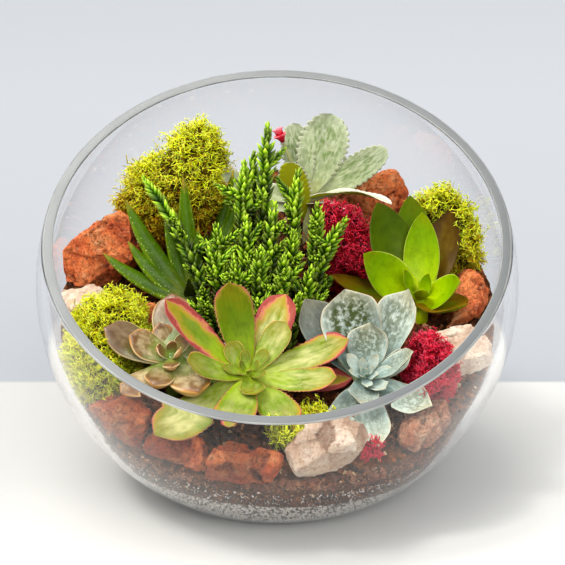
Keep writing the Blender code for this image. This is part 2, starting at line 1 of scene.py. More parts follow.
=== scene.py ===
import functools
import math
from collections import namedtuple

import bpy
import numpy as np
from mathutils import Matrix, Vector, noise


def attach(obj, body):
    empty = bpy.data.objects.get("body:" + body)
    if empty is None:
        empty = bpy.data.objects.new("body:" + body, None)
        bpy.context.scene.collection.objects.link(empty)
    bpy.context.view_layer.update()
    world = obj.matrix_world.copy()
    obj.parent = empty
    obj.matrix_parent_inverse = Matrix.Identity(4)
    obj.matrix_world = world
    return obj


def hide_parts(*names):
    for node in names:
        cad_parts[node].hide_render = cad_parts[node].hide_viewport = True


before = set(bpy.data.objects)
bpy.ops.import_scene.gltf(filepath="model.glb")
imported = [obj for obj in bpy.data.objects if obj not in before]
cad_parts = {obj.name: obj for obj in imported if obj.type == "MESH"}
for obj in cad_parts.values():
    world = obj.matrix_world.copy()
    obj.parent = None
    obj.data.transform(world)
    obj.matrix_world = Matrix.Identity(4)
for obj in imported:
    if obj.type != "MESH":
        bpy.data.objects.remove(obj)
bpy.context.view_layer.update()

noise.seed_set(7)  # without a seed, noise_vector gives other values on each run
MM = 0.001
GOLDEN_ANGLE = math.radians(137.508)

# The bowl and its filling, as in the CAD source.
BOWL_RADIUS = 101.6 * MM
WALL = 4.2 * MM
FOOT_RADIUS = 47.0 * MM
BASE_THICKNESS = 6.0 * MM
RIM_TILT = math.radians(30.0)
RIM_OFFSET = 30.8 * MM
RIM_CHAMFER = 0.6 * MM
CENTRE = np.array([0, 0, math.sqrt(BOWL_RADIUS**2 - FOOT_RADIUS**2)])
GAP = 0.3 * MM
GRAVEL_TOP = 26.0 * MM
SOIL_TILT = math.radians(24.2)
SOIL_MIDDLE = 70.0 * MM
FILL_RADIUS = BOWL_RADIUS - WALL - 0.9 * MM  # 0.1 mm nearer to the glass than in the CAD source
ROOT_DEPTH = 6.0 * MM
FOOT_THINNING = 2.1 * MM  # how much thinner the blown wall is near the foot

# How many loose grains there are, and how finely stones and moss are remeshed.
GRIT_COUNT = 7600
SURFACE_CRUMBS = 5200
GLASS_CRUMBS = 5200
LOW_CRUMBS = 2300
CHIP_COUNT = 560
STONE_VOXEL = 0.9 * MM
MOSS_VOXEL = 1.6 * MM


def srgb(red, green, blue):
    """A colour given as 0 to 255 on a screen, as linear red, green, blue and alpha."""
    values = [c / 255 for c in (red, green, blue)]
    return [c / 12.92 if c <= 0.04045 else ((c + 0.055) / 1.055) ** 2.4 for c in values] + [1.0]


# Mesh building


class Soup:
    """Collects faces and one number a point for each named attribute, for one mesh."""

    def __init__(self):
        self.points, self.faces, self.values, self.count = [], {}, {}, 0

    def add(self, points, faces, **values):
        """points is (copies, points a copy, 3). faces holds arrays of corners, for one copy."""
        points = np.asarray(points, float).reshape(-1, *np.shape(points)[-2:])
        copies, each = points.shape[:2]
        first = self.count + np.arange(copies)[:, None, None] * each
        for corners in faces:
            made = (first + corners[None]).reshape(-1, corners.shape[1])
            self.faces.setdefault(corners.shape[1], []).append(made)
        for key, value in values.items():
            spread = np.broadcast_to(np.asarray(value, float), (copies, each))
            self.values.setdefault(key, []).append(spread.ravel())
        self.points.append(points.reshape(-1, 3))
        self.count += copies * each

    def build(self, name, materials, smooth=True, sharp=None):
        mesh = bpy.data.meshes.new(name)
        mesh.vertices.add(self.count)
        mesh.vertices.foreach_set("co", np.concatenate(self.points).ravel())
        blocks = [np.concatenate(f) for f in self.faces.values()]
        corners = np.concatenate([b.ravel() for b in blocks])
        sizes = np.concatenate([np.full(len(b), b.shape[1]) for b in blocks])
        mesh.loops.add(len(corners))
        mesh.loops.foreach_set("vertex_index", corners)
        mesh.polygons.add(len(sizes))
        mesh.polygons.foreach_set("loop_start", np.cumsum(sizes) - sizes)
        mesh.polygons.foreach_set("use_smooth", np.full(len(sizes), smooth))
        for key, parts in self.values.items():
            data = mesh.attributes.new(key, "FLOAT", "POINT")
            data.data.foreach_set("value", np.concatenate(parts))
        mesh.update(calc_edges=True)
        mesh.validate()
        if sharp:
            mesh.set_sharp_from_angle(angle=math.radians(sharp))
        return place(name, mesh, materials)


def place(name, mesh, *materials):
    obj = bpy.data.objects.new(name, mesh)
    for mat in materials:
        obj.data.materials.append(mat)
    bpy.context.scene.collection.objects.link(obj)
    return obj


def stands_for(obj, node):
    """Puts the piece on the frame in place of a CAD node."""
    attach(obj, "root")
    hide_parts(node)
    return obj


@functools.cache
def tube_faces(rings, sides):
    """The corners of a tube of rings, then its tip point and its foot point."""
    r, s = np.meshgrid(np.arange(rings - 1), np.arange(sides), indexing="ij")
    n = (s + 1) % sides
    quads = [r * sides + s, r * sides + n, (r + 1) * sides + n, (r + 1) * sides + s]
    k = np.arange(sides)
    m = (k + 1) % sides
    tip = np.full(sides, rings * sides)
    top = np.stack([(rings - 1) * sides + k, (rings - 1) * sides + m, tip], -1)
    low = np.stack([m, k, tip + 1], -1)
    return np.stack(quads, -1).reshape(-1, 4), np.concatenate([top, low])


def unit(v):
    return v / np.maximum(np.linalg.norm(v, axis=-1, keepdims=True), 1e-12)


def across_of(way):
    """Two unit vectors square to each way and to each other."""
    helper = np.where(np.abs(way[..., 2:]) < 0.8, [0.0, 0, 1], [1.0, 0, 0])
    side = unit(np.cross(helper, way))
    return side, np.cross(way, side)


def tubes(path, radius, sides):
    """Closed tubes along paths (copies, rings + 1, 3), which end in their last point."""
    rings = path.shape[1] - 1
    way = unit(path[:, 1:] - path[:, :-1])
    side, over = across_of(way)
    angle = 2 * np.pi * np.arange(sides) / sides
    reach = np.broadcast_to(radius, path.shape[:2])[:, :-1, None, None]
    ring = path[:, :-1, None] + reach * (
        np.cos(angle)[:, None] * side[:, :, None] + np.sin(angle)[:, None] * over[:, :, None]
    )
    return np.concatenate([ring.reshape(len(path), -1, 3), path[:, -1:], path[:, :1]], 1)


def along_tube(rings, sides):
    return np.concatenate([np.repeat(np.arange(rings) / rings, sides), [1.0, 0.0]])


# Materials


class Paint:
    """A Principled material and short ways to add its nodes."""

    def __init__(self, name, roughness=0.5, **settings):
        self.mat = bpy.data.materials.new(name)
        self.mat.use_nodes = True
        self.tree = self.mat.node_tree
        self.shader = self.tree.nodes["Principled BSDF"]
        self.shader.inputs["Roughness"].default_value = roughness
        for key, value in settings.items():
            self.shader.inputs[key.replace("_", " ")].default_value = value
        self.place = self.tree.nodes.new("ShaderNodeTexCoord").outputs["Object"]

    def node(self, kind, inputs=(), **settings):
        made = self.tree.nodes.new("ShaderNode" + kind)
        for key, value in settings.items():
            setattr(made, key, value)
        for key, value in dict(inputs).items():
            self.feed(made.inputs[key], value)
        return made

    def feed(self, socket, value):
        if isinstance(value, bpy.types.NodeSocket):
            self.tree.links.new(value, socket)
        else:
            socket.default_value = value

    def value(self, name):
        return self.node("Attribute", attribute_name=name).outputs["Fac"]

    def noise(self, scale, detail=3.0, rough=0.55, warp=0.0):
        made = self.node("TexNoise", {"Vector": self.place, "Scale": scale, "Detail": detail})
        made.inputs["Roughness"].default_value = rough
        made.inputs["Distortion"].default_value = warp
        return made.outputs["Fac"]

    def cells(self, scale):
        return self.node("TexVoronoi", {"Vector": self.place, "Scale": scale}).outputs["Distance"]

    def ramp(self, fac, *stops):
        """A ramp through stops of (where, colour): a grey, 0 to 255 screen values, or a linear list."""
        made = self.node("ValToRGB", {"Fac": fac})
        marks = made.color_ramp.elements
        while len(marks) < len(stops):
            marks.new(0.5)
        for mark, (at, colour) in zip(marks, stops):
            mark.position = at
            if isinstance(colour, tuple):
                colour = srgb(*colour)
            elif not isinstance(colour, list):
                colour = [colour] * 3 + [1.0]
            mark.color = colour
        return made.outputs["Color"]

    def mix(self, fac, a, b, how="MIX"):
        made = self.node("Mix", data_type="RGBA", blend_type=how)
        self.feed(made.inputs["Factor"], fac)
        self.feed(made.inputs[6], a)
        self.feed(made.inputs[7], b)
        return made.outputs[2]

    def times(self, a, b, fac=1.0):
        return self.mix(fac, a, b, "MULTIPLY")

    def math(self, how, a, b=0.0, clamp=False):
        made = self.node("Math", operation=how, use_clamp=clamp)
        self.feed(made.inputs[0], a)
        self.feed(made.inputs[1], b)
        return made.outputs[0]

    def span(self, value, low, high, to_low=0.0, to_high=1.0):
        made = self.node("MapRange", {"Value": value, "From Min": low, "From Max": high})
        made.inputs["To Min"].default_value = to_low
        made.inputs["To Max"].default_value = to_high
        return made.outputs["Result"]

    def colour(self, socket):
        self.feed(self.shader.inputs["Base Color"], socket)

    def bump(self, height, strength, depth):
        made = self.node("Bump", {"Height": height, "Strength": strength, "Distance": depth})
        self.feed(self.shader.inputs["Normal"], made.outputs["Normal"])


def glass_material():
    """Clear glass that lets light through to what it holds."""
    paint = Paint("clear_glass", 0.0)
    shader = paint.shader
    shader.inputs["Base Color"].default_value = (1.0, 1.0, 1.0, 1)
    shader.inputs["Transmission Weight"].default_value = 1.0
    shader.inputs["IOR"].default_value = 1.45
    shader.inputs["Specular Tint"].default_value = (0.3, 0.3, 0.3, 1)
    path = paint.node("LightPath").outputs["Is Shadow Ray"]
    clear = paint.node("BsdfTransparent", {"Color": (0.95, 0.96, 0.955, 1)})
    both = paint.node("MixShader")
    paint.feed(both.inputs[0], path)
    paint.tree.links.new(shader.outputs[0], both.inputs[1])
    paint.tree.links.new(clear.outputs[0], both.inputs[2])
    paint.tree.links.new(both.outputs[0], paint.tree.nodes["Material Output"].inputs["Surface"])
    return paint.mat


def rim_material():
    """The ground and polished cut: grey-white, with a little clouding in it, and painted light that makes it
    lighter towards the left and back.
    """
    paint = Paint("polished_rim", 0.25, Specular_IOR_Level=0.2)
    paint.shader.inputs["Transmission Weight"].default_value = 0.35
    paint.shader.inputs["IOR"].default_value = 1.48
    # Painted reflection: the cut is painted lighter towards the left and back, in place of a lamp's
    # reflection.
    painted_light_side = paint.node("VectorMath", {0: paint.place, 1: (-0.85, 0.4, 0.2)}, operation="DOT_PRODUCT")
    light_and_clouding = paint.math("ADD", painted_light_side.outputs["Value"], paint.span(paint.noise(40, 2), 0.3, 0.7, -0.02, 0.02))
    stops = (0.0, (112, 115, 115)), (0.5, (128, 131, 130)), (0.8, (138, 140, 139)), (1.0, (151, 153, 151))
    paint.colour(paint.ramp(paint.span(light_and_clouding, -0.1, 0.11), *stops))
    return paint.mat


def rim_edge_material():
    """The small chamfers of the cut, which catch more light."""
    paint = Paint("rim_chamfer", 0.3, Specular_IOR_Level=0.2)
    paint.shader.inputs["Transmission Weight"].default_value = 0.35
    paint.colour(paint.ramp(paint.noise(60, 2), (0.35, (128, 130, 128)), (0.65, (160, 162, 159))))
    return paint.mat


def gravel_material():
    paint = Paint("gravel_grit", 0.6, Specular_IOR_Level=0.3)
    stone = paint.ramp(
        paint.value("tint"),
        (0.0, (54, 44, 36)),
        (0.18, (110, 98, 88)),
        (0.42, (206, 198, 188)),
        (0.75, (246, 242, 236)),
        (1.0, (254, 253, 251)),
    )
    dirt = paint.ramp(paint.noise(900), (0.3, (196, 186, 174)), (0.7, (255, 255, 255)))
    paint.colour(paint.times(stone, dirt))
    paint.bump(paint.noise(1500), 0.3, 0.0003)
    return paint.mat


def soil_material():
    paint = Paint("potting_soil", 0.95, Specular_IOR_Level=0.15)
    base = paint.ramp(
        paint.noise(260, 5, 0.65),
        (0.30, (24, 11, 3)),
        (0.45, (60, 30, 10)),
        (0.58, (98, 52, 20)),
        (0.72, (142, 84, 42)),
    )
    specks = paint.ramp(paint.cells(620), (0.10, 1.0), (0.16, 0.0))
    kept = paint.math("MULTIPLY", specks, paint.ramp(paint.noise(340), (0.60, 0.0), (0.66, 1.0)))
    paint.colour(paint.mix(kept, base, srgb(224, 210, 190)))
    paint.bump(paint.noise(520, 6, 0.7), 0.9, 0.0012)
    return paint.mat


def crumb_material():
    paint = Paint("soil_crumbs", 0.95, Specular_IOR_Level=0.15)
    tint = paint.ramp(
        paint.value("tint"),
        (0.0, (16, 7, 2)),
        (0.35, (52, 25, 8)),
        (0.66, (102, 54, 22)),
        (0.90, (160, 92, 48)),
        (0.97, (214, 178, 136)),
    )
    grain = paint.ramp(paint.noise(900), (0.3, 0.55), (0.7, 1.0))
    paint.colour(paint.times(tint, grain, 0.8))
    paint.bump(paint.noise(1400), 0.5, 0.0004)
    return paint.mat


def stone_material(name, stops, pit_and_shade_colour, dust, crack):
    """Broken rock: darker where its surface is knocked in and along its seams, partly pitting and partly
    painted shade, and dusty in places.
    """
    paint = Paint(name, 0.9, Specular_IOR_Level=0.2)
    broad = paint.ramp(paint.noise(75, 6, 0.62, 0.6), *stops)
    pits_and_shade = paint.ramp(paint.noise(crack, 6, 0.75), (0.38, 1.0), (0.50, 0.0))
    # Painted shade: darker in the stone's knocked-in places and along the seams between its faces.
    deep = paint.ramp(paint.value("pit_and_recess_shade"), (0.35, 0.0), (0.85, 1.0))
    worn_and_shaded = paint.mix(paint.math("MAXIMUM", paint.math("MULTIPLY", pits_and_shade, 0.85), deep), broad, pit_and_shade_colour)
    powder = paint.ramp(paint.noise(210, 8, 0.85), (0.54, 0.0), (0.70, 0.75))
    worn_and_shaded = paint.mix(powder, worn_and_shaded, dust)
    tones_and_light = (0.0, (128, 106, 96)), (0.6, (214, 204, 198)), (1.0, (255, 255, 255))
    # The stone's brightness is partly its own and partly painted light and shade.
    tone_and_light = paint.ramp(paint.value("tone_and_light"), *tones_and_light)
    paint.colour(paint.times(worn_and_shaded, tone_and_light))
    paint.bump(paint.noise(460, 8, 0.85), 1.0, 0.0018)
    return paint.mat


def strand_material(name, root, middle, tip, old_and_shaded):
    """Moss: dark at a strand's root and bright at its tip, and browner low on the cushion; both partly the
    moss's own colour and partly painted shade.
    """
    paint = Paint(name, 0.8, Specular_IOR_Level=0.12)
    root_to_tip = paint.ramp(paint.value("along"), (0.0, root), (0.5, middle), (1.0, tip))
    aged_and_shaded = paint.mix(paint.value("age"), root_to_tip, old_and_shaded)
    vary = paint.ramp(paint.value("tint"), (0.0, 0.6), (0.7, 1.0))
    paint.colour(paint.times(aged_and_shaded, vary))
    paint.shader.inputs["Subsurface Weight"].default_value = 0.4
    paint.shader.inputs["Subsurface Scale"].default_value = 0.002
    return paint.mat


def leaf_material(
    name, roughness, body, blush, margin, under, marks=None, shine=0.2, reach=(0.75, 0.3, 0.5), grain=0.86
):
    """A leaf painted from foot to tip, then blushed outwards, then edged.

    blush holds (at, colour) stops along the outward reach; margin is (where it starts, its colour
    on a calm leaf, its colour on a flushed one or at a tip); marks is (colour, how long, how wide,
    low, high, amount) for streaks that run with the leaf, kept to its middle. Pale marks are partly
    painted sheen; dark ones are the leaf's own mottling.
    """
    paint = Paint(name, roughness, Specular_IOR_Level=shine)
    along, edge, flush = paint.value("along"), paint.value("edge"), paint.value("flush")
    where = paint.node("CombineXYZ")
    paint.feed(where.inputs[0], paint.math("MULTIPLY", along, 4.0))
    paint.feed(where.inputs[1], paint.value("across"))
    paint.feed(where.inputs[2], paint.math("MULTIPLY", paint.value("tint"), 37.0))

    def streaks(long, wide, detail=3.0):
        scaled = paint.node("VectorMath", {0: where.outputs[0], 1: (long, wide, 1.0)}, operation="MULTIPLY")
        made = paint.node("TexNoise", {"Vector": scaled.outputs[0], "Scale": 1.0, "Detail": detail})
        made.inputs["Roughness"].default_value = 0.6
        return made.outputs["Fac"]

    wander = paint.span(streaks(1.6, 2.2), 0.3, 0.7, -0.10, 0.10)
    colour = paint.ramp(paint.math("ADD", along, wander), *body)
    lines = paint.ramp(streaks(2.0, 14.0, 4.0), (0.3, grain), (0.7, 1.0))
    colour = paint.times(colour, lines)
    mottle = paint.ramp(paint.noise(230, 6, 0.62), (0.34, 0.72), (0.52, 1.0))
    colour = paint.times(colour, mottle, 0.8)
    if marks:
        mark, long, wide, low, high, amount = marks
        shown = paint.ramp(streaks(long, wide, 5.0), (low, 0.0), (high, amount))
        # The marks are kept to the leaf's middle: pale ones are partly painted sheen there, dark ones the
        # leaf's own mottling.
        inside = paint.ramp(paint.math("POWER", edge, 2.0), (0.25, 1.0), (0.95, 0.12))
        inside = paint.times(inside, paint.ramp(along, (0.10, 0.2), (0.5, 1.0), (0.8, 1.0), (1.0, 0.3)))
        shown = paint.math("MULTIPLY", paint.math("MULTIPLY", shown, inside), paint.value("spot"))
        colour = paint.mix(shown, colour, mark)
    out = paint.math("MULTIPLY", edge, reach[0])
    out = paint.math("ADD", out, paint.math("MULTIPLY", paint.math("POWER", along, 3.0), reach[1]))
    out = paint.math("ADD", out, paint.math("MULTIPLY", flush, reach[2]))
    out = paint.math("ADD", out, wander)
    first = blush[0][0]
    shown = paint.ramp(out, (first - 0.16, 0.0), (first, 0.85))
    colour = paint.mix(shown, colour, paint.ramp(out, *blush))
    colour = paint.mix(paint.value("under"), colour, under)
    if margin:
        start, calm, flushed = margin
        redder = paint.math(
            "ADD", paint.math("MULTIPLY", flush, 1.6), paint.math("POWER", along, 5.0), clamp=True
        )
        line = paint.ramp(edge, (start, 0.0), (start + 0.04, 1.0))
        colour = paint.mix(line, colour, paint.mix(redder, calm, flushed))
    # Each leaf's tint dims it as a whole: partly its own colour, partly painted shade on leaves that sit in
    # shadow.
    vary = paint.ramp(paint.value("tint"), (0.0, 0.24), (0.5, 0.78), (1.0, 1.0))
    paint.colour(paint.times(colour, vary))
    paint.bump(streaks(9.0, 16.0, 3.0), 0.2, 0.0004)
    return paint


# The bowl and its filling


def slant_normal(tilt):
    return np.array([0, -math.sin(tilt), math.cos(tilt)])


# The soil's plane: how far it is from CENTRE along its normal, and its middle point.
SOIL_OFFSET = float(slant_normal(SOIL_TILT) @ (np.array([0, 0, SOIL_MIDDLE]) - CENTRE))
SOIL_CENTRE = CENTRE + slant_normal(SOIL_TILT) * SOIL_OFFSET


def soil_plane(y):
    """The height of the soil's plane at y."""
    return SOIL_MIDDLE + math.tan(SOIL_TILT) * y


def add_rings(soup, rings, **values):
    """Adds one closed skin through rings that have the same number of points."""
    sides = len(rings[0])
    points = np.concatenate(rings)
    ends = [points[-sides:].mean(0), points[:sides].mean(0)]
    soup.add(np.concatenate([points, ends])[None], tube_faces(len(rings), sides), **values)


def ball(radius, polar, azimuth):
    """Points on a ball about CENTRE. polar is measured from its lowest point."""
    polar, azimuth, radius = np.broadcast_arrays(polar, azimuth, radius)
    flat = np.sin(polar)
    return CENTRE + radius[..., None] * np.stack(
        [flat * np.cos(azimuth), flat * np.sin(azimuth), -np.cos(polar)], -1
    )


def within(radius, polar, azimuth):
    """Points inside the glass, set outwards near the foot, where the blown wall is thinner."""
    share = np.clip((1.15 - np.asarray(polar)) / 0.75, 0, 1)
    return ball(radius + FOOT_THINNING * share**2 * (3 - 2 * share), polar, azimuth)


def polar_at_slant(radius, tilt, offset, azimuth):
    across = -np.sin(azimuth) * math.sin(tilt)
    down = -math.cos(tilt) + 0 * across
    turned = np.arctan2(across, down) % (2 * np.pi)
    return turned - np.arccos(offset / (radius * np.hypot(across, down)))


def polar_at_height(radius, height):
    return math.acos((CENTRE[2] - height) / radius)


def build_bowl():
    sides, steps = 160, 56
    turn = 2 * np.pi * np.arange(sides) / sides
    inner = BOWL_RADIUS - WALL
    rings = []

    def wall(radius, low, offset, back=False):
        start = polar_at_height(radius, low)
        end = polar_at_slant(radius, RIM_TILT, offset, turn)
        shares = np.linspace(0, 1, steps)
        for share in shares[::-1] if back else shares:
            rings.append((within if back else ball)(radius, start + share * (end - start), turn))

    def rounding(radius, inwards, leans):
        for lean in leans:
            at = radius + inwards * RIM_CHAMFER * (1 - math.cos(lean))
            offset = RIM_OFFSET - RIM_CHAMFER * (1 - math.sin(lean))
            rings.append(ball(at, polar_at_slant(at, RIM_TILT, offset, turn), turn))

    leans = [math.pi / 2 * i / 4 for i in range(1, 5)]
    rings.append(ball(BOWL_RADIUS, polar_at_height(BOWL_RADIUS, 0), turn) * [0.97, 0.97, 1])
    wall(BOWL_RADIUS, 0.5 * MM, RIM_OFFSET - RIM_CHAMFER)
    rounding(BOWL_RADIUS, -1, leans)
    rounding(inner, 1, leans[::-1])
    wall(inner, BASE_THICKNESS + 1.2 * MM, RIM_OFFSET - RIM_CHAMFER, back=True)
    floor = polar_at_height(inner, BASE_THICKNESS)
    rings.append(within(inner, floor, turn) * [0.965, 0.965, 1] + [0, 0, 0.25 * MM])
    soup = Soup()
    add_rings(soup, rings)
    obj = soup.build("bowl_of_clear_glass", glass_material(), sharp=40)
    obj.data.materials.append(rim_material())
    obj.data.materials.append(rim_edge_material())
    cut = np.zeros(len(obj.data.polygons), int)
    cut[(steps + 1) * sides:(steps + 8) * sides] = 2
    cut[(steps + 4) * sides:(steps + 5) * sides] = 1
    obj.data.polygons.foreach_set("material_index", cut)
    return obj


@functools.cache
def grain_faces():
    """The twelve triangles of a box whose corners are 0 to 7."""
    quads = [(0, 2, 3, 1), (4, 5, 7, 6), (0, 1, 5, 4), (2, 6, 7, 3), (0, 4, 6, 2), (1, 3, 7, 5)]
    return (np.array([t for a, b, c, d in quads for t in ((a, b, c), (a, c, d))]),)


@functools.cache
def small_grain_faces():
    """The eight triangles between the points +x, -x, +y, -y, +z and -z."""
    corners = [(x, y, z) for z in (4, 5) for x in (0, 1) for y in (2, 3)]
    return (np.array([(x, y, z) if (x + y + z) % 2 == 0 else (y, x, z) for x, y, z in corners]),)


def grains(places, size, draw, flat=0.75, small=True):
    """Angular grains about places, each a knocked-about box or, if small, six points, turned at random."""
    count = len(places)
    corners = np.array([(x, y, z) for z in (-1, 1) for y in (-1, 1) for x in (-1, 1)], float)
    if small:
        corners = np.array([(1, 0, 0), (-1, 0, 0), (0, 1, 0), (0, -1, 0), (0, 0, 1), (0, 0, -1)]) * 1.35
    shape = corners * draw.uniform(0.55, 1.0, (count, len(corners), 3)) * [1, 1, flat]
    spin = unit(draw.normal(size=(count, 4)))
    w, x, y, z = spin.T
    turn = np.stack(
        [
            1 - 2 * (y * y + z * z), 2 * (x * y - z * w), 2 * (x * z + y * w),
            2 * (x * y + z * w), 1 - 2 * (x * x + z * z), 2 * (y * z - x * w),
            2 * (x * z - y * w), 2 * (y * z + x * w), 1 - 2 * (x * x + y * y),
        ],
        -1,
    ).reshape(-1, 3, 3)
    half = 0.5 * np.reshape(size, (-1, 1, 1))
    return places[:, None] + np.einsum("nij,nkj->nki", turn, shape) * half


def fill_wall(tilt, low, offset, rows, sides, radius, rough, seed):
    """Rings up the inside of the bowl, their surface knocked in by up to rough."""
    turn = 2 * np.pi * np.arange(sides) / sides
    start = polar_at_height(radius, low)
    end = polar_at_slant(radius, tilt, offset, turn)
    rings = []
    for share in np.linspace(0, 1, rows):
        ring = within(radius, start + share * (end - start), turn)
        push = np.array([noise.fractal(Vector(p) * 260 + Vector((seed, 0, 0)), 0.8, 2.1, 3) for p in ring])
        push = np.clip(0.5 + 0.6 * push, 0, 1) * rough
        rings.append(ring - unit(ring - CENTRE) * push[:, None])
    return rings


def build_gravel():
    draw = np.random.default_rng(11)
    low = BASE_THICKNESS + 0.8 * MM
    soup = Soup()
    radius = FILL_RADIUS - 1.2 * MM
    turn = 2 * np.pi * np.arange(96) / 96
    rings = [within(radius, polar_at_height(radius, z), turn) for z in np.linspace(low, GRAVEL_TOP - MM, 8)]
    # The grit's inner body, seen in the gaps between grains, is painted darker than most grains, as painted
    # shade in the gaps.
    add_rings(soup, rings, tint=0.22)
    count = GRIT_COUNT
    azimuth = draw.uniform(0, 2 * np.pi, count)
    strewn = GRAVEL_TOP + draw.exponential(2.4, count) * MM * (0.55 - 0.45 * np.cos(azimuth))
    level = draw.uniform(low + 0.6 * MM, GRAVEL_TOP - 0.9 * MM, count)
    height = np.where(draw.uniform(0, 1, count) < 0.16, np.minimum(strewn, GRAVEL_TOP + 11 * MM), level)
    size = draw.uniform(0.7, 1.9, count) * MM
    reach = FILL_RADIUS - 0.55 * size
    polar = np.arccos((CENTRE[2] - height) / reach)
    places = within(reach, polar, azimuth)
    tint = draw.uniform(0, 1, (count, 1))
    tint = np.where(tint < 0.24, 0.5 * tint, tint**0.35)
    soup.add(grains(places, size, draw), small_grain_faces(), tint=tint)
    return soup.build("drainage_grit", gravel_material(), smooth=False)


def soil_height(x, y):
    """The soil's surface: the sloping plane with low mounds, in metres."""
    wave = 0.9 * MM * noise.fractal(Vector((x * 60, y * 60, 0)), 0.9, 2.0, 3)
    return soil_plane(y) - 1.0 * MM + wave


def build_soil():
    sides, rows = 160, 34
    rings = fill_wall(
        SOIL_TILT, GRAVEL_TOP + GAP, SOIL_OFFSET - 0.8 * MM, rows, sides, FILL_RADIUS, 1.2 * MM, 3
    )
    rim = rings[-1]
    for share in np.linspace(0.985, 0.02, 44):
        ring = SOIL_CENTRE + (rim - SOIL_CENTRE) * share
        ring[:, 2] = [soil_height(x, y) for x, y, _ in ring]
        rings.append(ring)
    soup = Soup()
    add_rings(soup, rings)
    return soup.build("bed_of_potting_soil", soil_material())


def strew(soup, places, size, draw, brightest=1):
    """Adds small grains about places, each with its own tint."""
    tint_shape = (len(places), 1)
    soup.add(grains(places, size, draw), small_grain_faces(), tint=draw.uniform(0, brightest, tint_shape))


def build_crumbs():
    """Loose crumbs on the soil and against the glass."""
    draw = np.random.default_rng(13)
    soup = Soup()
    top = math.sqrt((FILL_RADIUS - 1.5 * MM) ** 2 - SOIL_OFFSET**2)
    count = SURFACE_CRUMBS
    radius = top * np.sqrt(draw.uniform(0, 1, count))
    turn = draw.uniform(0, 2 * np.pi, count)
    flat = np.stack([radius * np.cos(turn), radius * np.sin(turn), 0 * turn], -1)
    places = SOIL_CENTRE + flat * [1, math.cos(SOIL_TILT), 1]
    places[:, 2] = [soil_height(x, y) + 0.3 * MM for x, y, _ in places]
    size = draw.uniform(0.8, 2.4, count) ** 1.2 * MM
    strew(soup, places, size, draw)
    count = GLASS_CRUMBS
    azimuth = draw.uniform(0, 2 * np.pi, count)
    size = draw.uniform(0.7, 2.2, count) * MM
    reach = FILL_RADIUS - 0.45 * size
    start = np.arccos((CENTRE[2] - GRAVEL_TOP - MM) / reach)
    end = polar_at_slant(FILL_RADIUS, SOIL_TILT, SOIL_OFFSET - MM, azimuth)
    places = within(reach, start + draw.uniform(0, 1, count) * (end - start), azimuth)
    strew(soup, places, size, draw)
    count = LOW_CRUMBS
    azimuth = draw.uniform(-2.5, 0.6, count)
    size = draw.uniform(0.7, 1.8, count) * MM
    deep = 5 * np.cos(0.75 * (azimuth + 0.9)) ** 2 + 1.5
    height = GRAVEL_TOP + MM - deep * MM * draw.uniform(0, 1, count) ** 0.8
    reach = FILL_RADIUS - 0.42 * size + 0.2 * MM
    places = within(reach, np.arccos((CENTRE[2] - height) / reach), azimuth)
    strew(soup, places, size, draw, 0.9)
    obj = soup.build("soil_crumbs", crumb_material(), smooth=False)
    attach(obj, "root")


def build_chips(material):
    """Chips of the red rock, pressed against the front of the glass."""
    draw = np.random.default_rng(14)
    count = CHIP_COUNT
    azimuth = np.radians(-195 + 165 * draw.uniform(0, 1, count) ** 1.1)
    size = draw.uniform(1.4, 2.3, count) ** 1.9 * MM
    reach = FILL_RADIUS - 0.46 * size
    start = np.arccos((CENTRE[2] - GRAVEL_TOP - 6 * MM) / reach)
    end = polar_at_slant(FILL_RADIUS, SOIL_TILT, SOIL_OFFSET - 0.5 * MM, azimuth)
    polar = start + 0.84 * draw.uniform(0.0, 1.0, count) ** 0.7 * (end - start)
    soup = Soup()
    places = within(reach, polar, azimuth)
    values = dict(tone_and_light=draw.uniform(0.1, 1.0, (count, 1)), pit_and_recess_shade=draw.uniform(0.2, 0.7, (count, 1)))
    soup.add(grains(places, size, draw, 0.6, small=False), grain_faces(), **values)
    obj = soup.build("red_rock_chips", material, smooth=False)
    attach(obj, "root")


# Stones


def copy_of(node):
    """A new mesh like a CAD node's."""
    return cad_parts[node].data.copy()


def refined(name, mesh, voxel):
    """The mesh remeshed to even small faces."""
    mesh.materials.clear()
    obj = bpy.data.objects.new(name, mesh)
    bpy.context.scene.collection.objects.link(obj)
    remesh = obj.modifiers.new("even", "REMESH")
    remesh.mode = "VOXEL"
    remesh.voxel_size = voxel
    graph = bpy.context.evaluated_depsgraph_get()
    made = bpy.data.meshes.new_from_object(obj.evaluated_get(graph), depsgraph=graph)
    bpy.data.objects.remove(obj)
    return made


def split(mesh, draw):
    """Breaks flat faces off a stone's corners."""
    co = np.array([v.co for v in mesh.vertices])
    middle = co.mean(0)
    for way in unit(draw.normal(size=(10, 3))):
        reach = (co - middle) @ way
        over = np.maximum(reach - draw.uniform(0.74, 0.92) * reach.max(), 0)
        co -= over[:, None] * way
    mesh.vertices.foreach_set("co", co.ravel())
    mesh.update()


def fitted(node, points, usual=1.0):
    """A CAD node's points, with the small changes that FITS gives its visual piece."""
    scale, move = FITS.get(node, ((usual,) * 3, (0, 0, 0)))
    co = np.array([v.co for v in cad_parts[node].data.vertices])
    middle = 0.5 * (co.min(0) + co.max(0))
    return middle + (points - middle) * scale + np.array(move) * MM


def kept_in(points):
    """Points drawn back to where the glass leaves room."""
    off = points - CENTRE
    reach = np.linalg.norm(off, axis=-1, keepdims=True)
    return CENTRE + off * np.minimum(1, (BOWL_RADIUS - WALL - 0.5 * MM) / reach)


def chip(p, size, shift):
    """The height of the broken face at p, how near its edge is, and the face's own number."""
    place = p / size + shift
    gaps, seeds = noise.voronoi(place)
    lean = noise.noise_vector(seeds[0] * 3.1)
    number = noise.noise(seeds[0] * 5.7)
    return 1.5 * lean.dot(place - seeds[0]) + number, 1 - min(1.0, 5 * (gaps[1] - gaps[0])), number


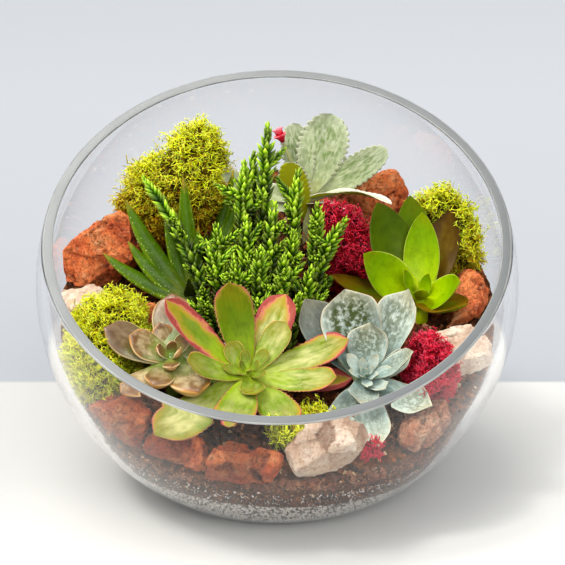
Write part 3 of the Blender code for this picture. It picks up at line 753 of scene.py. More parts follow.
def build_stone(node, material, depth, seed, tone_and_light):
    """A CAD stone with broken faces and grit, marked darker where it is knocked in and along its seams,
    partly pitting and partly painted shade.
    """
    mesh = refined(node, copy_of(node), STONE_VOXEL)
    shift = Vector((seed * 3.7, seed, -seed))
    split(mesh, np.random.default_rng(200 + seed))
    co = fitted(node, np.array([v.co for v in mesh.vertices]), 1.04)
    mesh.vertices.foreach_set("co", co.ravel())
    mesh.update()
    normals = [v.normal.copy() for v in mesh.vertices]
    pits_and_shade, tones_and_light = [], []
    for vert, normal in zip(mesh.vertices, normals):
        p = vert.co * 1000
        wavy = p + 0.7 * noise.noise_vector(p * 0.3)
        broad, seam, number = chip(wavy, 11.0, shift)
        fine, chink, _ = chip(wavy, 4.2, -shift)
        grit = noise.noise(p * 1.1 + shift)
        rise = depth * (0.80 * broad + 0.30 * fine - 0.15 * seam - 0.1) + 0.34 * MM * grit
        vert.co += normal * rise
        # Higher in knocked-in places and seams, for painted shade, and at random for pitting.
        pits_and_shade.append(0.34 + 0.14 * seam + 0.12 * chink - 0.16 * broad - 0.20 * fine - 0.40 * grit)
        # Each stone's brightness, partly painted light and shade, varied at random by face.
        tones_and_light.append(tone_and_light + 0.4 * number)
    mesh.vertices.foreach_set("co", kept_in(np.array([v.co for v in mesh.vertices])).ravel())
    mesh.update()
    mesh.attributes.new("pit_and_recess_shade", "FLOAT", "POINT").data.foreach_set("value", pits_and_shade)
    mesh.attributes.new("tone_and_light", "FLOAT", "POINT").data.foreach_set("value", tones_and_light)
    obj = place(node + "_rough", mesh, material)
    mesh.shade_smooth()
    mesh.set_sharp_from_angle(angle=math.radians(20))
    return obj


# Moss


def sample(mesh, count, draw):
    """Points spread over a mesh, with the normals there."""
    mesh.calc_loop_triangles()
    co = np.empty(len(mesh.vertices) * 3)
    mesh.vertices.foreach_get("co", co)
    co = co.reshape(-1, 3)
    tri = np.empty(len(mesh.loop_triangles) * 3, int)
    mesh.loop_triangles.foreach_get("vertices", tri)
    a, b, c = (co[t] for t in tri.reshape(-1, 3).T)
    cross = np.cross(b - a, c - a)
    area = np.linalg.norm(cross, axis=1)
    pick = draw.choice(len(area), count, p=area / area.sum())
    u, v = draw.uniform(0, 1, (2, count, 1))
    flip = (u + v) > 1
    u, v = np.where(flip, 1 - u, u), np.where(flip, 1 - v, v)
    return a[pick] + u * (b - a)[pick] + v * (c - a)[pick], unit(cross[pick])


def build_moss(node, material, core, count, seed, age_and_shade_low, size=1.0):
    """A cushion of fine curling strands over a dark core, kept to the CAD cushion's form."""
    draw = np.random.default_rng(seed)
    mesh = refined(node, copy_of(node), MOSS_VOXEL)
    mesh.vertices.foreach_set("co", fitted(node, np.array([v.co for v in mesh.vertices])).ravel())
    mesh.update()
    normals = [v.normal.copy() for v in mesh.vertices]
    for vert, normal in zip(mesh.vertices, normals):
        swell = noise.noise(vert.co * 170)
        vert.co += normal * (-3.6 * MM + 1.1 * MM * swell)
    mesh.update()
    mesh.shade_smooth()
    body = place(node + "_core", mesh, core)
    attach(body, "root")
    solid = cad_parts[node].data
    at, out = sample(solid, count, draw)
    at, co = fitted(node, at), fitted(node, np.array([v.co for v in solid.vertices]))
    low, high = co.min(0), co.max(0)
    tuft = np.array([noise.noise(Vector(p) * 210) for p in at])[:, None]
    tint = np.clip(0.55 + 0.5 * tuft + draw.normal(0, 0.22, (count, 1)), 0, 1)
    # The strands get browner low on the cushion and in sunken tufts: partly older moss, partly painted shade.
    rise = (at[:, 2:] - low[2]) / (high[2] - low[2])
    age = age_and_shade_low * (1.5 - 2.0 * rise) + draw.normal(0, 0.16, (count, 1)) - 0.25 * tuft
    age = np.clip(age, 0, 1)
    soup = Soup()
    start = at + out * (2.4 * MM * tuft - 3.3 * size * MM)
    tops = grow(soup, start, out, 4.6 * size * MM, 0.25 * MM, draw, 1.0, tint, age, 0.0)
    for fork in range(2):
        twigs = draw.choice(count, int(count * 0.7))
        foot = tops[twigs, 1 + fork]
        grow(
            soup, foot, out[twigs], 2.5 * size * MM, 0.23 * MM, draw, 2.6, tint[twigs], age[twigs],
            0.45, (0, 0.5, 1)
        )
    return soup.build(node + "_strands", material)


STRAND_MARKS = (0, 0.3, 0.62, 1)


def grow(soup, start, out, length, thick, draw, spread, tint, age, born, marks=STRAND_MARKS):
    """Curled strands from start, leaning at random off the way out. Gives back their lines."""
    count = len(start)
    way = unit(out + 0.8 * spread * draw.normal(size=(count, 3)))
    way = unit(way + out * np.maximum(0.1 - (way * out).sum(1, keepdims=True), 0) * 1.5)
    bend, twist = unit(draw.normal(size=(2, count, 3)))
    reach = length * draw.uniform(0.55, 1.15, (count, 1, 1))
    t = np.array(marks, float)[None, :, None]
    curl = 0.40 * bend[:, None] * np.sin(np.pi * t)
    path = way[:, None] * t + curl + 0.30 * twist[:, None] * np.sin(2 * np.pi * t)
    path = kept_in(start[:, None] + reach * path)
    radius = thick * draw.uniform(0.75, 1.2, (count, 1)) * np.interp(marks, STRAND_MARKS, (0.85, 1, 0.8, 0))
    rings = len(marks) - 1
    along = born + (1 - born) * along_tube(rings, 3)[None]
    soup.add(tubes(path, radius, 3), tube_faces(rings, 3), along=along, tint=tint, age=age)
    return path


# Leaves

LeafForm = namedtuple("LeafForm", "neck peak point thickness cup curl")
SPOON = LeafForm(0.30, 0.72, 0.46, 0.17, 0.10, 0.07)
FAT_SPOON = LeafForm(0.46, 0.64, 0.60, 0.46, 0.14, 0.13)
SCOOP = LeafForm(0.40, 0.66, 0.60, 0.17, 0.22, 0.11)
LANCE = LeafForm(0.50, 0.48, 0.80, 0.14, 0.16, 0.10)
SPIKE = LeafForm(0.90, 0.22, 0.80, 0.42, -0.26, 0.06)
SCALLOPED = LeafForm(0.16, 0.62, 0.45, 0.08, 0.10, 0.05)
ARCHED = LeafForm(0.30, 0.50, 0.45, 0.08, 0.10, -0.10)

Leaf = namedtuple("Leaf", "azimuth rise length width")
Rosette = namedtuple("Rosette", "at tilt form stem_radius core_radius leaves heart")
Heart = namedtuple("Heart", "count longest shortest width_share rise_low rise_high")
ROSETTES = {
    "aeonium": Rosette(
        (-12, -44, 66), 30, SPOON, 3.2, 6.0,
        [
            Leaf(120, 67, 40, 17), Leaf(52, 48, 38, 17), Leaf(30, 48, 27, 13),
            Leaf(8, 20, 44, 16), Leaf(-20, 5, 38, 13), Leaf(0, -2, 43, 12),
            Leaf(-78, -4, 20, 12), Leaf(-100, -10, 37, 18), Leaf(-56, -14, 36, 16),
            Leaf(-152, 24, 30, 13), Leaf(168, 42, 46, 14), Leaf(-142, -13, 44, 18),
            Leaf(-178, -8, 26, 13), Leaf(150, 52, 18, 11),
        ],
        Heart(5, 12, 7, 0.55, 48, 76),
    ),
    "echeveria": Rosette(
        (36, -42, 64), 38, SCOOP, 3.0, 6.0,
        [
            Leaf(116, 54, 38, 22), Leaf(46, 48, 42, 18), Leaf(84, 46, 26, 16),
            Leaf(-4, 14, 26, 14), Leaf(142, 40, 42, 18), Leaf(90, 34, 40, 14),
            Leaf(-62, 6, 17, 8), Leaf(-32, 22, 31, 12), Leaf(-46, -2, 35, 13),
            Leaf(-96, -8, 26, 13), Leaf(-84, -26, 35, 14), Leaf(134, 32, 17, 10),
            Leaf(-120, -22, 30, 12),
        ],
        Heart(6, 12, 6, 0.55, 40, 78),
    ),
    "green_rosette": Rosette(
        (61, 6, 80), 24, LANCE, 3.4, 6.0,
        [
            Leaf(84, 72, 38, 15.5), Leaf(142, 60, 46, 22), Leaf(99, 62, 46, 19),
            Leaf(58, 52, 44, 17), Leaf(172, 42, 36, 14), Leaf(136, 50, 28, 13),
            Leaf(-150, 60, 18, 9), Leaf(-48, 32, 26, 12), Leaf(-50, 14, 30, 13),
            Leaf(-176, 20, 41, 12),
        ],
        Heart(2, 14, 9, 0.5, 62, 72),
    ),
    "ghost_plant": Rosette(
        (-43, -38, 71), 30, FAT_SPOON, 2.8, 5.0,
        [
            Leaf(178, 27, 31, 16), Leaf(92, 44, 30, 17), Leaf(120, 52, 15, 8),
            Leaf(-172, 20, 23, 12), Leaf(30, 24, 19, 10), Leaf(-62, -14, 26, 14),
            Leaf(-110, -8, 22, 12), Leaf(-130, -12, 29, 12),
        ],
        Heart(4, 9, 6, 0.6, 40, 70),
    ),
    "haworthia": Rosette(
        (-37, 8, 81), 14, SPIKE, 3.0, 5.0,
        [
            Leaf(172, 26, 46, 8), Leaf(166, 40, 36, 7), Leaf(153, 54, 50, 9),
            Leaf(98, 72, 51, 8), Leaf(112, 66, 37, 7), Leaf(72, 70, 31, 6),
            Leaf(134, 66, 38, 7),
        ],
        Heart(2, 16, 12, 0.35, 60, 75),
    ),
    "haworthia_back": Rosette(
        (-31, 27, 90), 10, SPIKE, 2.4, 3.6,
        [Leaf(52, 66, 42, 7), Leaf(30, 60, 38, 7), Leaf(160, 58, 24, 6)],
        Heart(1, 15, 15, 0.35, 80, 80),
    ),
}


def direction(azimuth, rise):
    a, r = math.radians(azimuth), math.radians(rise)
    return np.array([math.cos(r) * math.cos(a), math.cos(r) * math.sin(a), math.sin(r)])


def leaf_width(form, along):
    inner = form.neck + (1 - form.neck) * np.sin(0.5 * np.pi * np.minimum(along / form.peak, 1)) ** 1.3
    outer = np.clip(1 - (np.clip(along - form.peak, 0, 1) / (1 - form.peak)) ** 2, 0, 1) ** form.point
    return np.where(along < form.peak, inner, outer)


def leaf_points(
    foot, way, face, length, width, form, draw, rings=34, sides=14, margin=None, wave=0.0, mucro=0.0,
    twist=0.05,
    blunt=False,
):
    """One leaf's points, with each one's place along it, across it and on its underside."""
    over = unit(face - (face @ way) * way)
    side = np.cross(over, way)
    share = np.arange(rings) / rings
    along = 1 - (1 - share) ** 1.45
    half = 0.5 * width * leaf_width(form, along)
    if mucro:
        spike = np.clip((1 - along) / mucro, 0, 1)
        half = half * spike**0.45 + 0.012 * width * (1 - spike)
    if margin is not None:
        half = half * margin(along)
    if blunt:
        taper = (1 - 0.25 * along) * (1 - along**14) + 0.1
    else:
        taper = (1 - 0.55 * along) * (1 - along**6) + 0.12
    thick = np.maximum(0.5 * width * form.thickness * taper, 0.3 * MM)
    sag = form.curl * length * 4 * along * (1 - along)
    lean = draw.normal(0, 0.02) * length * along**2
    roll = draw.normal(0, twist) * along
    angle = 2 * np.pi * np.arange(sides) / sides
    x, y = np.cos(angle), np.sin(angle)
    y = y * (0.45 + 0.55 * np.abs(y))
    ripple = wave * width * np.sin(along * draw.uniform(9, 13) + draw.uniform(0, 6))
    lift = form.cup * width * (half / (0.5 * width))[:, None] * x**2 + ripple[:, None] * x**3
    across, high = half[:, None] * x, thick[:, None] * y + lift
    c, s = np.cos(roll)[:, None], np.sin(roll)[:, None]
    across, high = across * c - high * s, across * s + high * c
    middle = foot + way * (length * along)[:, None] - over * sag[:, None] + side * lean[:, None]
    ring = middle[:, None] + side * across[..., None] + over * high[..., None]
    tip = foot + way * length + side * lean[-1]
    points = np.concatenate([ring.reshape(-1, 3), [tip], [foot]])
    strip = np.broadcast_to(x, (rings, sides)).ravel()
    under = np.broadcast_to((y < -0.05) * 1.0, (rings, sides)).ravel()
    return points, {
        "along": np.concatenate([np.repeat(along, sides), [1, 0]]),
        "across": np.concatenate([strip * np.repeat(half / (0.5 * width), sides), [0, 0]]),
        "edge": np.concatenate([np.abs(strip), [1, 0]]),
        "under": np.concatenate([under, [0, 0]]),
    }


def add_leaf(soup, foot, leaf, face, form, draw, look=None, **finish):
    """Adds a leaf: a Leaf, or its way, length and width in metres. look is (tint, flush, spot)."""
    if isinstance(leaf, Leaf):
        way, length, width = direction(leaf.azimuth, leaf.rise), leaf.length * MM, leaf.width * MM
    else:
        way, length, width = leaf
    points, values = leaf_points(foot, way, face, length, width, form, draw, **finish)
    rings, sides = finish.get("rings", 34), finish.get("sides", 14)
    tint, flush, spot = look or (draw.uniform(0.45, 0.95), draw.uniform(0, 0.15), 0.4)
    soup.add(points[None], tube_faces(rings, sides), tint=tint, flush=flush, spot=spot, **values)


def round_body(soup, line, radii, sides=16, **values):
    line = np.array(line)[None]
    soup.add(tubes(line, np.array(radii)[None], sides), tube_faces(line.shape[1] - 1, sides), **values)


def rosette_stem(soup, rosette):
    at = np.array(rosette.at) * MM
    axis = slant_normal(math.radians(rosette.tilt))
    stem, core = rosette.stem_radius * MM, 0.8 * rosette.core_radius * MM
    soil = soil_plane(at[1])
    neck = np.array([at[0], at[1], max(at[2] - 1.2 * core, soil + 0.6 * stem)])
    line = [[at[0], at[1], soil - ROOT_DEPTH], neck, at - 0.5 * core * axis, at + 0.35 * core * axis]
    line.append(at + 0.8 * core * axis)
    radii = [stem, stem, core * 0.9, core * 0.7, 0]
    round_body(
        soup, line, radii, along=0.15, across=0.0, edge=0.0, under=0.0, tint=0.6, flush=0.0, spot=0.0
    )
    return at, axis, core


def heart_leaves(heart, axis):
    side = across_of(axis)[0]
    for i in range(heart.count):
        share = i / max(heart.count - 1, 1)
        length = heart.longest + share * (heart.shortest - heart.longest)
        rise = math.radians(heart.rise_low + share * (heart.rise_high - heart.rise_low))
        turn = Matrix.Rotation(i * GOLDEN_ANGLE, 3, Vector(axis)) @ Vector(side)
        way = unit(math.cos(rise) * np.array(turn) + math.sin(rise) * axis)
        yield way, length * MM, length * heart.width_share * MM


def build_rosette(
    node, name, paint, seed, finish, looks=(), heart_look=(0.9, 0.0, 0.0), changes=(), heart=None
):
    """A rosette's leaves and stem. looks gives (tint, flush, spot) by leaf number.

    changes gives a leaf's own face, rise, length or width by its number, where the plain CAD leaf is simpler.
    """
    draw = np.random.default_rng(seed)
    rosette = ROSETTES[node]
    soup = Soup()
    at, axis, core = rosette_stem(soup, rosette)
    looks, changes = dict(looks), dict(changes)
    for i, leaf in enumerate(rosette.leaves):
        change = dict(changes.get(i, ()))
        face = unit(np.array(change.pop("face", axis)))
        add_leaf(soup, at, leaf._replace(**change), face, rosette.form, draw, look=looks.get(i), **finish)
    for inner in heart_leaves(heart or rosette.heart, axis):
        add_leaf(soup, at + 0.4 * core * axis, inner, axis, rosette.form, draw, look=heart_look, **finish)
    return stands_for(soup.build(name, paint.mat), node)


def saw(count, depth, start=0.0):
    """A margin with that many teeth, each rising slowly and falling fast."""

    def margin(along):
        phase = (along * count) % 1.0
        tooth = np.where(phase < 0.72, phase / 0.72, (1 - phase) / 0.28)
        return 1 - depth * (1 - tooth) * np.clip((along - start) / 0.1, 0, 1)

    return margin


def scallops(count, depth, start=0.25):
    """A margin of rounded teeth."""

    def margin(along):
        tooth = np.abs(np.sin(np.pi * along * count)) ** 0.6
        return 1 - depth * (1 - tooth) * np.clip((along - start) / 0.08, 0, 1)

    return margin


def build_aeonium():
    paint = leaf_material(
        "aeonium_leaf", 0.4,
        [(0.0, (170, 190, 50)), (0.22, (138, 164, 8)), (0.6, (100, 128, 0)), (1.0, (128, 124, 4))],
        [(0.86, (160, 134, 40)), (0.92, (186, 116, 76)), (0.98, (186, 82, 86)), (1.0, (150, 44, 58))],
        (0.93, srgb(214, 172, 104), srgb(184, 76, 84)), srgb(150, 156, 60),
        # Pale cream marks in each leaf's middle: partly its own cream streaks, partly painted sheen.
        marks=(srgb(232, 220, 156), 1.2, 2.4, 0.31, 0.68, 0.66), reach=(0.56, 0.38, 0.6), shine=0.06,
        grain=0.78,
    )
    looks = {
        0: (0.42, 0.22, 0.0), 1: (0.88, 0.70, 1.0), 2: (0.86, -0.15, 0.75), 3: (0.66, 0.42, 1.0),
        4: (0.80, 0.22, 0.7),
        5: (0.30, 0.75, 0.2), 6: (0.9, -0.2, 0.2), 7: (0.75, 0.34, 0.5), 8: (0.75, 0.26, 0.4),
        9: (0.70, 0.0, 0.3),
        10: (0.72, 0.72, 0.1), 11: (0.60, 0.15, 1.0), 12: (0.15, 0.8, 0.1), 13: (0.9, -0.2, 0.3),
    }
    changes = {
        0: dict(length=39), 6: dict(length=17, width=10), 11: dict(length=47, rise=-17, width=20),
        13: dict(length=16, width=9, rise=58),
    }
    finish = dict(rings=64, sides=14, margin=saw(40, 0.07, 0.25), wave=0.02, mucro=0.08, twist=0.08)
    heart = Heart(9, 13.5, 6, 0.46, 16, 64)
    return build_rosette(
        "aeonium", "aeonium_leaves", paint, 21, finish, looks, (0.70, -0.5, 0.2), changes, heart
    )


def build_echeveria():
    paint = leaf_material(
        "echeveria_leaf", 0.6,
        [(0.0, (128, 150, 86)), (0.25, (150, 176, 170)), (0.7, (194, 206, 192)), (1.0, (198, 194, 162))],
        [(0.86, (190, 196, 168)), (1.0, (200, 156, 120))],
        (0.95, srgb(214, 206, 172), srgb(206, 150, 122)), srgb(96, 122, 104),
        marks=(srgb(54, 66, 10), 4.0, 5.0, 0.36, 0.54, 1.0), shine=0.25, reach=(0.66, 0.24, 0.3),
        grain=0.62,
    )
    looks = {
        0: (0.54, 0.0, 1.0), 1: (0.80, 0.0, 0.7), 2: (0.68, 0.0, 0.75), 3: (0.72, 0.0, 0.5),
        4: (0.08, 0.0, 0.3),
        5: (0.32, 0.1, 0.2), 6: (0.85, 0.1, 0.1), 7: (0.95, 0.0, 0.5), 8: (0.8, 0.0, 0.6),
        9: (0.6, 0.0, 0.4),
    }
    changes = {
        0: dict(width=25, rise=58), 2: dict(azimuth=78, rise=68, length=23, width=17),
        3: dict(rise=30, length=22, width=10),
        7: dict(rise=38, length=28, width=9), 9: dict(length=20),
    }
    finish = dict(rings=36, sides=16, wave=0.05, mucro=0.16, twist=0.14)
    heart = Heart(12, 13, 5, 0.40, 30, 74)
    return build_rosette(
        "echeveria", "echeveria_leaves", paint, 22, finish, looks, (0.95, 0.0, 0.0), changes, heart
    )


def build_green_rosette():
    paint = leaf_material(
        "green_leaf", 0.32,
        [(0.0, (184, 198, 6)), (0.35, (142, 172, 0)), (0.75, (112, 150, 0)), (1.0, (128, 146, 0))],
        [(0.62, (150, 104, 14)), (0.80, (112, 56, 8)), (1.0, (84, 32, 4))],
        (0.965, srgb(214, 216, 104), srgb(150, 120, 50)), srgb(140, 160, 4), shine=0.06,
        reach=(0.25, 0.15, 0.6),
    )
    # Some leaves, leaf 1 on the left most of all, are painted darker as painted shade.
    looks = {
        0: (0.80, 0.0, 0), 1: (0.02, 0.0, 0), 2: (0.16, 0.2, 0), 3: (0.12, 1.0, 0), 4: (0.92, 0.0, 0),
        5: (0.35, 0.0, 0), 6: (0.9, 0.0, 0), 7: (1.0, 0.0, 0), 8: (0.4, 0.8, 0), 9: (0.1, 0.7, 0),
    }
    changes = {
        4: dict(azimuth=-164, face=(0.30, -0.85, 0.45), width=18, length=35),
        5: dict(face=(0.2, -0.8, 0.5)),
        7: dict(face=(-0.25, -0.60, 0.75), width=16, length=27), 8: dict(width=16),
    }
    finish = dict(rings=38, sides=14, wave=0.008, mucro=0.05)
    heart = Heart(3, 15, 9, 0.5, 58, 74)
    return build_rosette(
        "green_rosette", "green_rosette_leaves", paint, 23, finish, looks, (0.9, 0.0, 0.0), changes, heart
    )


def build_ghost_plant():
    paint = leaf_material(
        "ghost_leaf", 0.32,
        [(0.0, (92, 132, 16)), (0.35, (118, 134, 52)), (0.65, (124, 94, 46)), (1.0, (114, 66, 22))],
        [(0.80, (150, 104, 44)), (1.0, (186, 98, 20))],
        (0.92, srgb(226, 206, 160), srgb(212, 150, 66)), srgb(178, 138, 84),
        # Pale marks in each leaf's middle: partly its own cream colour, partly a painted highlight on its
        # gloss.
        marks=(srgb(200, 180, 138), 1.4, 2.0, 0.40, 0.62, 0.7), shine=0.6, reach=(0.66, 0.24, 0.6),
        grain=0.66,
    )
    looks = {
        0: (0.34, 0.0, 0.5), 1: (0.55, 0.0, 0.5), 2: (0.80, 0.30, 0.8), 3: (0.80, 0.10, 0.9),
        4: (0.75, 0.1, 1.0),
        5: (0.75, 0.15, 1.0), 6: (0.60, 0.0, 0.5), 7: (0.95, 0.0, 1.0),
    }
    changes = {
        0: dict(face=(-0.25, -0.5, 0.8)), 2: dict(length=17, width=10, rise=44),
        3: dict(rise=34, length=21, width=13, face=(-0.2, -0.6, 0.8)),
        4: dict(length=18, width=13, face=(0.2, -0.6, 0.8)),
        5: dict(width=17, length=25, face=(0.0, -0.5, 0.85)),
    }
    finish = dict(rings=40, sides=18, wave=0.02, mucro=0.12, twist=0.15, blunt=True)
    heart = Heart(5, 12, 8, 0.6, 30, 74)
    return build_rosette(
        "ghost_plant", "ghost_plant_leaves", paint, 24, finish, looks, (0.95, -0.2, 0.0), changes, heart
    )


def haworthia_material():
    paint = leaf_material(
        "haworthia_leaf", 0.38,
        [(0.0, (96, 108, 4)), (0.3, (58, 88, 0)), (0.85, (78, 112, 0)), (1.0, (196, 150, 50))],
        [(0.80, (104, 134, 6)), (1.0, (160, 180, 50))],
        None, srgb(40, 56, 2), shine=0.14, reach=(0.88, 0.0, 0.2),
    )
    base = paint.shader.inputs["Base Color"].links[0].from_socket
    dots = paint.ramp(paint.cells(900), (0.16, 1.0), (0.24, 0.0))
    beads = paint.math("MULTIPLY", dots, paint.ramp(paint.value("edge"), (0.6, 0.12), (0.9, 0.9)))
    paint.colour(paint.mix(beads, base, srgb(206, 210, 156)))
    return paint


# The crassula and the kalanchoe

CRASSULA_STEMS = [
    ((-6, 17), (-4, 20, 154)), ((-15, 15), (-14, 17, 138)), ((6, 15), (9, 18, 134)),
    ((-4, 4), (-1, 7, 123)), ((14, 3), (29, 5, 117)), ((16, 13), (17, 13, 121)),
    ((-23, 8), (-26, 9, 113)), ((-23, -2), (-29, -3, 108)), ((-8, -6), (-7, -9, 109)),
    ((1, -7), (3, -10, 106)), ((-16, -6), (-18, -8, 104)), ((11, -6), (14, -8, 99)),
    ((-30, -1), (-57, 26, 128)), ((-26, -13), (-32, -20, 90)), ((-17, -15), (-20, -19, 95)),
    ((5, -16), (9, -20, 92)), ((-7, -16), (-8, -22, 90)), ((-13, 5), (-13, 7, 117)),
    ((5, 5), (7, 3, 112)), ((-12, 25), (-10, 29, 139)),
]


def crassula_material():
    paint = Paint("crassula_leaf", 0.42, Specular_IOR_Level=0.25)
    # Painted shade and highlight: each scale is near black at its foot, where it tucks against the stem, and
    # light yellow-green at its tip, partly its own colour.
    root_to_tip = paint.ramp(
        paint.value("along"),
        (0.0, (6, 18, 0)),
        (0.35, (58, 104, 0)),
        (0.72, (138, 180, 4)),
        (1.0, (210, 232, 72)),
    )
    # The tint, lowered low on each stem by add_scales, darkens the scales there as painted shade.
    vary = paint.ramp(paint.value("tint"), (0.0, 0.10), (0.8, 1.0))
    paint.colour(paint.times(root_to_tip, vary))
    return paint.mat


def add_scales(soup, line, draw, size, pitch, shade):
    """Four close rows of plump pointed leaves up a line of points."""
    line = np.array(line)
    step = np.linalg.norm(np.diff(line, axis=0), axis=1)
    total = step.sum()
    marks = np.concatenate([[0], np.cumsum(step)])
    count = int(total / pitch)
    s = (np.arange(count) + 0.5) * pitch
    at = np.stack([np.interp(s, marks, line[:, k]) for k in range(3)], -1)
    behind = np.stack([np.interp(s - 0.5 * pitch, marks, line[:, k]) for k in range(3)], -1)
    way = unit(at - behind + 1e-9)
    side, over = across_of(way)
    left = np.clip((total - s) / (2.6 * size), 0.0, 1.0)
    for k in range(2):
        angle = np.pi * k + (np.arange(count) % 2) * np.pi / 2 + draw.normal(0, 0.16, count)
        out = side * np.cos(angle)[:, None] + over * np.sin(angle)[:, None]
        spread = (0.30 + 0.58 * left + draw.normal(0, 0.12, count))[:, None]
        lean = unit(out * np.sin(spread) + way * np.cos(spread))
        reach = (size * (0.5 + 0.5 * left) * draw.uniform(0.85, 1.15, count))[:, None, None]
        across = unit(np.cross(way, out))[:, None]
        lift = np.cross(lean, across[:, 0])[:, None]
        t = np.array([0.2, 0.66])[None, :, None]
        wide = reach * np.array([0.54, 0.50])[None, :, None]
        deep = reach * np.array([0.38, 0.34])[None, :, None]
        middle = at[:, None] + lean[:, None] * t * reach + way[:, None] * 0.30 * t**2 * reach
        corners = [
            middle + across * 0.5 * x * wide + lift * 0.5 * y * deep
            for x, y in ((1, 0), (0, 1), (-1, 0), (0, -1))
        ]
        ring = np.stack(corners, 2).reshape(count, -1, 3)
        tip = at + lean * reach[:, 0] + way * 0.36 * reach[:, 0]
        points = np.concatenate([ring, tip[:, None], at[:, None]], 1)
        tint = np.clip(draw.uniform(0.2, 1, count) - shade * (1 - s / total) ** 1.3, 0, 1)[:, None]
        along = np.repeat([0.2, 0.66, 1.0, 0.0], [4, 4, 1, 1])
        soup.add(points, tube_faces(2, 4), along=along[None], tint=tint)


def build_crassula(number, foot, tip, material):
    draw = np.random.default_rng(100 + number)
    ground = np.array([foot[0] * MM, foot[1] * MM, SOIL_MIDDLE + math.tan(SOIL_TILT) * foot[1] * MM])
    end = np.array(tip) * MM
    upright = ground + [0, 0, 0.55 * (end[2] - ground[2])]
    t = np.linspace(0, 1, 24)[:, None]
    line = (1 - t) ** 2 * ground + 2 * t * (1 - t) * upright + t * t * end
    soup = Soup()
    root = ground - [0, 0, ROOT_DEPTH]
    core = np.concatenate([[root], line])
    radii = np.concatenate([[1.3], np.linspace(1.3, 0.6, 23), [0]]) * MM
    round_body(soup, core, radii, 8, along=0.15, tint=0.3)
    add_scales(soup, line[1:], draw, 4.7 * MM, 1.05 * MM, 0.75)
    height = end[2] - ground[2]
    for share in np.linspace(0.2, 0.74, 6):
        at = line[int(share * 23)]
        turn = draw.uniform(0, 2 * np.pi)
        way = unit(np.array([math.cos(turn), math.sin(turn), draw.uniform(0.1, 1.1)]))
        reach = min(draw.uniform(7.0, 13.0) * MM, 0.4 * height)
        u = np.linspace(0, 1, 6)[:, None]
        sprig = at + way * u * reach + np.array([0, 0, 2.2 * MM]) * u**2
        add_scales(soup, sprig, draw, 3.5 * MM, 1.0 * MM, 0.9 - 0.8 * share)
    obj = soup.build(f"crassula_{number:02d}_scales", material)
    return stands_for(obj, f"crassula_stem_{number:02d}")


FORWARD = np.array([0, -0.94, 0.34])
BACKWARD = -FORWARD
TILTED = np.array([0, 0.22, 0.975])
LEANING = np.array([0, -0.55, 0.83])
KALANCHOE_AT = (13, 50)
KALANCHOE_HEIGHT = 21.0 * MM
KALANCHOE_RADIUS = 2.0 * MM
KALANCHOE_LEAVES = [
    (19, FORWARD, Leaf(50, 64, 39, 23)),
    (18, FORWARD, Leaf(12, 30, 42, 14)),
    (9, BACKWARD, Leaf(-152, 69, 30, 14)),
    (20, FORWARD, Leaf(120, 65, 33, 15)),
    (16, TILTED, Leaf(-40, 2, 20, 12)),
    (19, TILTED, Leaf(-14, 1, 38, 14)),
    (18, LEANING, Leaf(-172, 20, 41, 12)),
    (13, LEANING, Leaf(-164, 24, 31, 11)),
]
FLOWER_STALK = Leaf(162, 66, 27, 1.6)


def build_kalanchoe():
    draw = np.random.default_rng(31)
    paint = leaf_material(
        "kalanchoe_leaf", 0.85,
        [(0.0, (146, 142, 78)), (0.25, (172, 180, 136)), (1.0, (192, 200, 166))],
        [(0.94, (200, 204, 172)), (1.0, (222, 216, 192))],
        (0.96, srgb(226, 222, 200), srgb(248, 242, 230)), srgb(136, 138, 8),
        marks=(srgb(100, 122, 62), 3.0, 8.0, 0.40, 0.60, 0.85), shine=0.1, reach=(0.75, 0.2, 0.2),
        grain=0.74,
    )
    x, y = KALANCHOE_AT[0] * MM, KALANCHOE_AT[1] * MM
    soil = soil_plane(y)
    soup = Soup()
    top = soil + KALANCHOE_HEIGHT
    line = [[x, y, soil - ROOT_DEPTH], [x, y, soil], [x, y, top], [x, y, top + 2 * MM]]
    wide = KALANCHOE_RADIUS
    stem = dict(along=0.1, across=0.0, edge=0.0, under=0.0, tint=0.5, flush=0.0, spot=0.0)
    round_body(soup, line, [wide, wide, 0.8 * wide, 0], **stem)
    finish = dict(rings=110, sides=12, margin=scallops(15, 0.17, 0.25), wave=0.04, mucro=0.03, twist=0.10)
    looks = [
        (0.72, 0, 1), (0.66, 0, 1), (0.7, 0, 0), (0.6, 0, 1), (0.9, 3.0, 0), (1.0, 3.0, 0),
        (1.0, 0.8, 0.4), (1.0, 0.8, 0.4)
    ]
    for (up, facing, leaf), look in zip(KALANCHOE_LEAVES, looks):
        foot = np.array([x, y, soil + up * MM])
        form = ARCHED if facing is TILTED else SCALLOPED
        add_leaf(soup, foot, leaf, facing, form, draw, look=look, **finish)
    top = np.array([x, y, soil + KALANCHOE_HEIGHT - 2 * MM])
    way = direction(FLOWER_STALK.azimuth, FLOWER_STALK.rise)
    end = top + way * FLOWER_STALK.length * MM
    half = 0.5 * FLOWER_STALK.width * MM
    round_body(soup, [top, end - way * MM, end], [half, half, 0], 8, **stem)
    stands_for(soup.build("kalanchoe_leaves", paint.mat), "kalanchoe")
    build_flower(end, way, draw)


